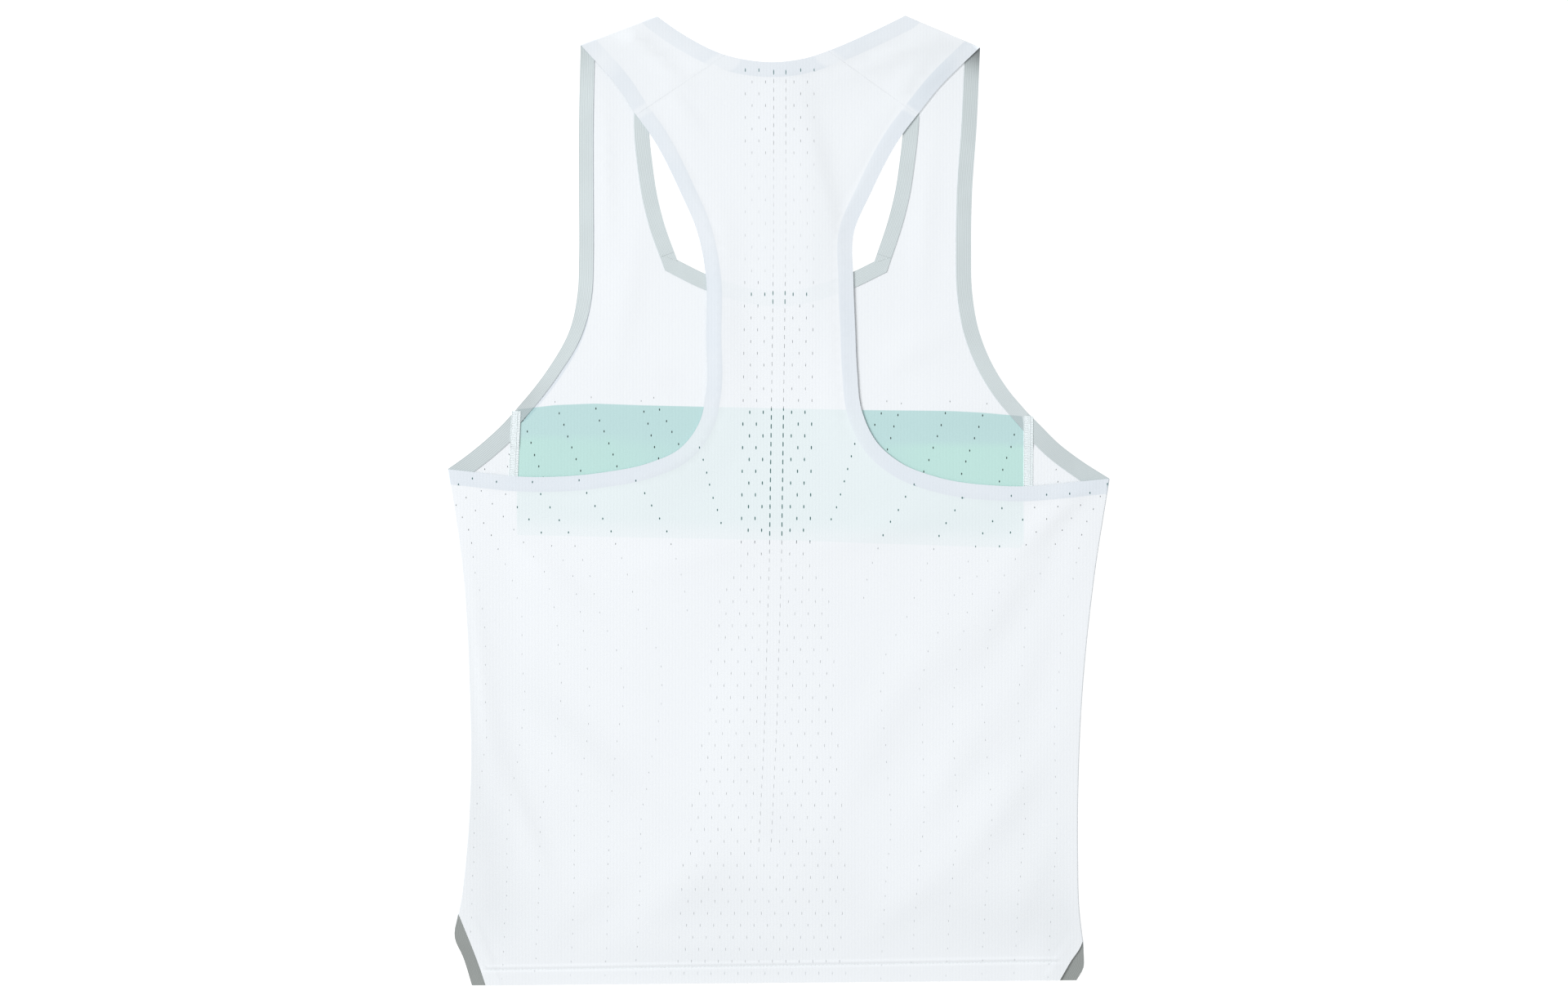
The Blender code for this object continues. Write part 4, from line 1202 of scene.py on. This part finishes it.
def panel_fields(panel, spots, taped, rings, neck, front):
    """Values that the panel's material reads. The front's neck edge and outline show through the back."""
    x, y, _ = PLACES[panel](spots).T
    points = np.column_stack([x, y])
    folded = np.abs(spots - points).max(axis=1) > FOLD_ARC
    # Painted shade: from the height up the garment, from the tables of shades, and on the wings
    painted_shade = height_on(PAINTED_SHADE_AT, y)
    tint = 1 - PAINTED_SHADE_HIDES * np.where(y > 0, painted_shade, 0) - bump(TINT_FADES, x, y)
    band = band_depth(x, y)
    fields = {"mint": band_mint(x, y), "tape": nearest(spots, taped)}
    fields["seam"] = seam_field(panel, points, folded)
    if panel == "front":
        shaded = np.where(folded, bump(STRAP_SHADES, x, y), 0)
        painted_shade += shaded + np.where(folded, 0, bump(FRONT_SHADES, x, y))
        tint += PAINTED_SHADE_HIDES * np.maximum(shaded, 0)
        # Painted light: a glow beside the right strap's edge, lifting its shadow
        beyond = THROUGH_REACH - nearest(points, tree_of(strap_edge()))
        fields["through"] = np.where(folded, 0, PAINTED_STRAP_GLOW * smooth(beyond / THROUGH_FADE))
    else:
        above_foot = y - height_on(BAND_FOOT, x)
        fields["print"] = 1 - BAND_FADE * smooth(1 - above_foot / BAND_FADE_REACH)
        band[folded] = -FAR
        painted_shade = np.where(folded, np.where(x < 0, *WING_PAINTED_SHADES), painted_shade + bump(SHADES, x, y))
        deep = nearest(points, neck) * np.where(inside(points, front), 1, -1)
        fields["ghost"] = np.where(folded, -FAR, np.minimum(deep, TAPE_WIDTH - deep))
    hole = np.full(len(spots), HOLE_MARGIN)
    if rings:
        hole = np.minimum(nearest(spots, tree_of(np.concatenate(rings))), hole)
    return {**fields, "band": band, "painted_shade": painted_shade, "tint": tint, "hole": hole}


def strap_edge():
    """The right strap's edge over the front, from the shoulder fold to the seam."""
    return curve(on_side(BACK_ARMHOLE, 1)[: SEAM_ROW + 1], FIELD_STEP)


def fold_shade(name, x, y):
    """How dark one of the front's armhole tapes gets toward the shoulder fold."""
    side = 1 if name.endswith("right") else -1
    deep = np.maximum(-SHOULDERS[side].beyond(np.column_stack([x, y]))[0], 0)
    (along, close), (far, near) = FOLD_SHADES[side > 0], FOLD_SHADE_REACH
    return along * np.exp(-deep / far) + close * np.exp(-((deep / near) ** 2))


def make_tapes(edges, folds):
    """The film of each tape. By panel: the films, the lines where they end and the edges that they follow."""
    grey, dark = tape_material("tape", GREY_TAPE), tape_material("vent_tape", DARK_TAPE)
    # the back's armhole tapes get a copy of the grey tape darkened with painted shade
    wing = tape_material("shaded_wing_tape", SHADED_WING_TAPE)
    films, lines, taped = ({panel: [] for panel in PLACES} for _ in range(3))
    for name, (edge, turn, start, end, panel) in draw_tapes(edges).items():
        tilted, vent = name == "armhole_tape_front_left", name.startswith("vent")
        width = read_at(TILTED_TAPE, edge[:, 1])[:, None] if tilted else TAPE_WIDTH
        loop, line = strip(edge, turn, start, end, width)
        lines[panel].append(line)
        if not vent:  # the vents' tapes don't show through the cloth
            taped[panel].append(curve(edge, FIELD_STEP))
        spots, faces, _ = triangulate(loop, folds[panel], grid(loop, TAPE_GRID, folds[panel]))
        x, y, _ = PLACES[panel](spots).T
        look = dark if vent else wing if name.startswith("armhole_tape_back") else grey
        fields = {"across": nearest(spots, tree_of(curve(edge, FIELD_STEP)))}
        fields["band"] = band_depth(x, y) if panel == "front" else np.full(len(x), -FAR)
        fields["shade"] = np.full(len(x), TAPE_DULL if look is grey and not tilted else 0.0)
        if name.startswith("armhole_tape_front"):
            fields["shade"] += fold_shade(name, x, y) + bump(TAPE_SHADES, x, y)
        place, offset = PLACES[panel], TAPE_OFFSETS[panel]
        thing = make_wall(name + "_film", spots, faces, place, offset, TAPE, look, fields)
        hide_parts(name)
        films[panel].append(thing)
    return films, lines, taped


def extra_lines(panel):
    """Where a panel's mesh needs edges of its own: along the hem's step, and beside the right strap."""
    if panel == "back":
        return [level_line(stitch_y, *HEM_LINE_ENDS, up) for up in HEM_LINES]
    edge = strap_edge()[THROUGH_START:]
    return [beside(edge, out) for out in (0, THROUGH_REACH - THROUGH_FADE, THROUGH_REACH)]


def rim_points(rings, trees, spacing):
    """Points round the holes that lie over the band or a tape, at the end of their dark rims."""
    around = []
    for line in rings:
        middle = line.mean(axis=0)
        from_tape = min(nearest([middle], tree)[0] for tree in trees)
        if band_depth(*middle) > -spacing or from_tape < TAPE_WIDTH + spacing:
            around.append(line + (line - middle) * 2 * HOLE_MARGIN / np.ptp(line, axis=0))
    return around


def make_garment():
    """The panels, with their outlines and areas, and the films of their tapes."""
    rng = np.random.default_rng(SEED)
    edges = draw_edges()
    turns = [math.pi * step / FOLD_STEPS for step in range(FOLD_STEPS + 1)]
    folds = {
        "front": [SHOULDERS[side].row(turn) for side in SIDES for turn in turns],
        "back": [side_fold_row(side, turn) for side in SIDES for turn in turns],
    }
    films, lines, taped = make_tapes(edges, folds)
    outlines = panel_outlines(edges)
    left, right = (edges["neck_side_" + name][:-1] for name in SIDE_NAMES.values())
    neck = np.vstack([left, edges["neck_centre"], right[::-1]])
    neck = tree_of(curve(neck, FIELD_STEP))
    panels = {}
    for panel, loop in outlines.items():
        holes, rings = panel_holes(panel, loop, rng)
        inner = folds[panel] + lines[panel] + extra_lines(panel)
        edges_taped = tree_of(np.concatenate(taped[panel]))
        loose = [grid(loop, GRID[panel], inner, holes), *rim_points(rings, (edges_taped, neck), GRID[panel])]
        spots, faces, area = triangulate(loop, inner, np.vstack(loose), rings)
        fields = panel_fields(panel, spots, edges_taped, rings, neck, outlines["front"])
        look = cloth_material(panel + "_knit", panel == "front")
        thing = make_wall(panel, spots, faces, PLACES[panel], 0.0, CLOTH, look, fields)
        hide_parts(panel + "_panel")
        panels[panel] = thing, loop, area
    return panels, films


def overlock_place(points):
    """Where points of the allowance of a side seam lie: on the front and the wing, and on their tapes."""
    x, y = points.T
    low, high = OVERLOCK_CLIMB
    climb = (high.y - low.y) * smooth((y - low.x) / (high.x - low.x))
    return np.column_stack([x, y, front_height(x, y) + (CLOTH + OVERLOCK_THICK) / 2 + HEM_FOLD_GAP + climb])


def add_side_seams(cloth, thread):
    """The allowance of each side seam, pressed flat, with the threads that overlock it."""
    made = []
    for side, name in SIDE_NAMES.items():
        middle = side_curve(OVERLOCK_LINE, side, EDGE_STEP / 2)
        left, right = (beside(middle, turn * OVERLOCK_WIDTH / 2) for turn in SIDES)
        spots, faces, _ = triangulate(np.vstack([left, right[::-1]]))
        strip_name = f"side_seam_{name}"
        made.append(make_wall(strip_name, spots, faces, overlock_place, 0.0, OVERLOCK_THICK, cloth))
        length = lengths(middle)
        turns = np.arange(0, length[-1], OVERLOCK_PITCH / 2)
        left, right = (read_line(line, length, turns) for line in (left, right))
        swing = np.where(np.arange(len(turns)) % 2, 1, -1)[:, None] * OVERLOCK_SWING / 2
        paths = []
        for share in (0.5 + swing, *OVERLOCK_STRAIGHT):
            path = overlock_place(left * (1 - share) + right * share)
            paths.append(path + (0, 0, OVERLOCK_THICK / 2 + THREAD * SEAM_THREAD_UP))
        made.append(add_threads(f"side_threads_{name}", paths, thread))
    return made


def add_hem(cloth, thread):
    """The cloth turned in at the hem on the back and on the front, and the stitches in the back's groove."""
    back = (VENT_BACK[-1].left_x + HEM_FOLD, VENT_BACK[-1].right_x - HEM_FOLD)
    front = (SIDE_SEAM[0] + GAP, SIDE_SEAM[1] - GAP)
    inward = CLOTH / 2 + HEM_FOLD / 2 + HEM_FOLD_GAP
    made = {}
    for name, ends, offset in (("back", back, -inward), ("front", front, inward)):
        low, high = level_line(hem_y, *ends, HEM_FOLD), level_line(stitch_y, *ends, HEM_TURNED)
        lines = [level_line(stitch_y, *ends, up)[1:-1] for up in HEM_LINES if up < HEM_TURNED]
        spots, faces, _ = triangulate(np.vstack([low, high[::-1]]), lines)
        turned = f"hem_turned_{name}"
        made[name] = [make_wall(turned, spots, faces, PLACES[name], offset, HEM_FOLD, cloth)]
    stitches = []
    for x in np.arange(back[0] + STITCH, back[1] - STITCH, STITCH_PITCH):
        along = np.linspace(x, x + STITCH, len(STITCH_RISE))
        path = place_back(np.column_stack([along, stitch_y(along)]))
        path[:, 2] += CLOTH / 2 + THREAD * np.array(STITCH_RISE)
        stitches.append(path)
    made["back"].append(add_threads("hem_stitches", stitches, thread))
    return made


def add_joint_threads(thread):
    """The row of stitches across the neck tape at each corner of the front neckline."""
    top = FRONT_Z + CLOTH / 2 + GAP + TAPE + THREAD * JOINT_THREAD_UP
    made = []
    for side, name in SIDE_NAMES.items():
        start, end = on_side(JOINT_THREADS, side)
        across = left_of(end - start) / np.linalg.norm(end - start)
        swing = JOINT_SWING * np.where(np.arange(JOINT_TURNS) % 2, 1, -1)[:, None]
        path = start + (end - start) * np.linspace(0, 1, JOINT_TURNS)[:, None] + across * swing
        path = np.column_stack([path, np.full(JOINT_TURNS, top)])
        made.append(add_threads(f"neck_joint_threads_{name}", [path], thread))
    return made


# ---------------------------------------------------------------- stage, light and camera

PIXEL = 0.6  # millimetres of the garment to a pixel of the photograph
PHOTO = (1920, 1229)
VIEW_MIDDLE = (4.2, -1.3)  # where the camera's axis meets the floor
LENS, SENSOR = 100.0, 36.0
AMBIENT = 0.6
FLOOR_HALF, FLOOR_GLOW = 9000.0, 0.88
FLOOR_DEPTH, CARD_STEP = 0.6, 0.1  # down to the floor, and from the floor and each card up to the next
CARD_TOP, CARD_INSET = 90.0, 3.0
WING_CARD_OUT = 240.0
KEY_HEIGHT, KEY_FROM = 40.0, 155.0  # degrees above the floor, and round from +X
KEY_AWAY, KEY_SIZE = 14.0, 8.0  # metres


def add_stage(outline):
    """A bright floor, and plain dark cards under the perforated parts of the garment: painted shade that the
    holes show, in place of the floor's glow.
    """
    floor = np.array([(-1, -1), (1, -1), (1, 1), (-1, 1)]) * FLOOR_HALF
    left, right = (on_side(BACK_ARMHOLE, side)[SEAM_ROW - 1:RACER_END] for side in SIDES)
    racer = np.vstack([left, right[::-1], np.array(NECK_BACK)[-2:0:-1]])
    cards = {"body_shade_card": outline[outline[:, 1] < CARD_TOP], "racer_shade_card": racer}
    for side, name in SIDE_NAMES.items():
        foot = [(SIDE_SEAM[side > 0], 0), (side * WING_CARD_OUT, 0)]
        cards[name + "_wing_shade_card"] = np.vstack([on_side(WING_EDGE, side), foot])[::side]
    loops = {"floor": floor}
    for name, loop in cards.items():
        loops[name] = beside(np.vstack([loop[-1:], loop, loop[:1]]), CARD_INSET)[1:-1]
    glow, grey = floor_material(), shade_card_material()
    for level, (name, loop) in enumerate(loops.items()):
        points = np.column_stack([loop, np.full(len(loop), CARD_STEP * level - FLOOR_DEPTH)])
        add_object(name, points, [tuple(range(len(loop)))], grey if level else glow)


def add_key():
    """The main light, a softbox off to the upper left. The world gives the rest."""
    height, turn = math.radians(KEY_HEIGHT), math.radians(KEY_FROM)
    light = bpy.data.lights.new("key", "AREA")
    light.shape = "DISK"
    light.size = KEY_SIZE
    light.energy = math.pi**2 * (KEY_AWAY**2 + KEY_SIZE**2 / 4) * (LIGHT - AMBIENT) / math.sin(height)
    thing = bpy.data.objects.new("key", light)
    thing.location = KEY_AWAY * Vector((
        math.cos(height) * math.cos(turn), math.cos(height) * math.sin(turn), math.sin(height)
    ))
    thing.rotation_euler = (math.pi / 2 - height, 0, turn + math.pi / 2)
    bpy.context.collection.objects.link(thing)


def add_camera():
    data = bpy.data.cameras.new("camera")
    data.lens, data.sensor_width = LENS, SENSOR
    data.clip_end = 50.0
    camera = bpy.data.objects.new("camera", data)
    distance = PHOTO[0] * PIXEL * MM * LENS / SENSOR
    camera.location = ((VIEW_MIDDLE[0] + SHIFT[0]) * MM, (VIEW_MIDDLE[1] + SHIFT[1]) * MM, distance)
    bpy.context.collection.objects.link(camera)
    bpy.context.scene.camera = camera


def add_world(strength):
    world = bpy.data.worlds.new("studio")
    world.use_nodes = True
    shade = world.node_tree.nodes["Background"]
    shade.inputs["Color"].default_value = (1.0, 1.0, 1.0, 1.0)
    shade.inputs["Strength"].default_value = strength
    bpy.context.scene.world = world


def main():
    add_camera()
    panels, sewn_on = make_garment()
    thread, plain = thread_material(), plain_material()
    sewn_on["front"] += add_side_seams(plain, thread) + add_joint_threads(thread)
    for panel, hem in add_hem(plain, thread).items():
        sewn_on[panel] += hem
    add_stage(panels["front"][1])
    add_key()
    add_world(AMBIENT)
    bpy.context.scene.view_settings.view_transform = "Standard"


main()
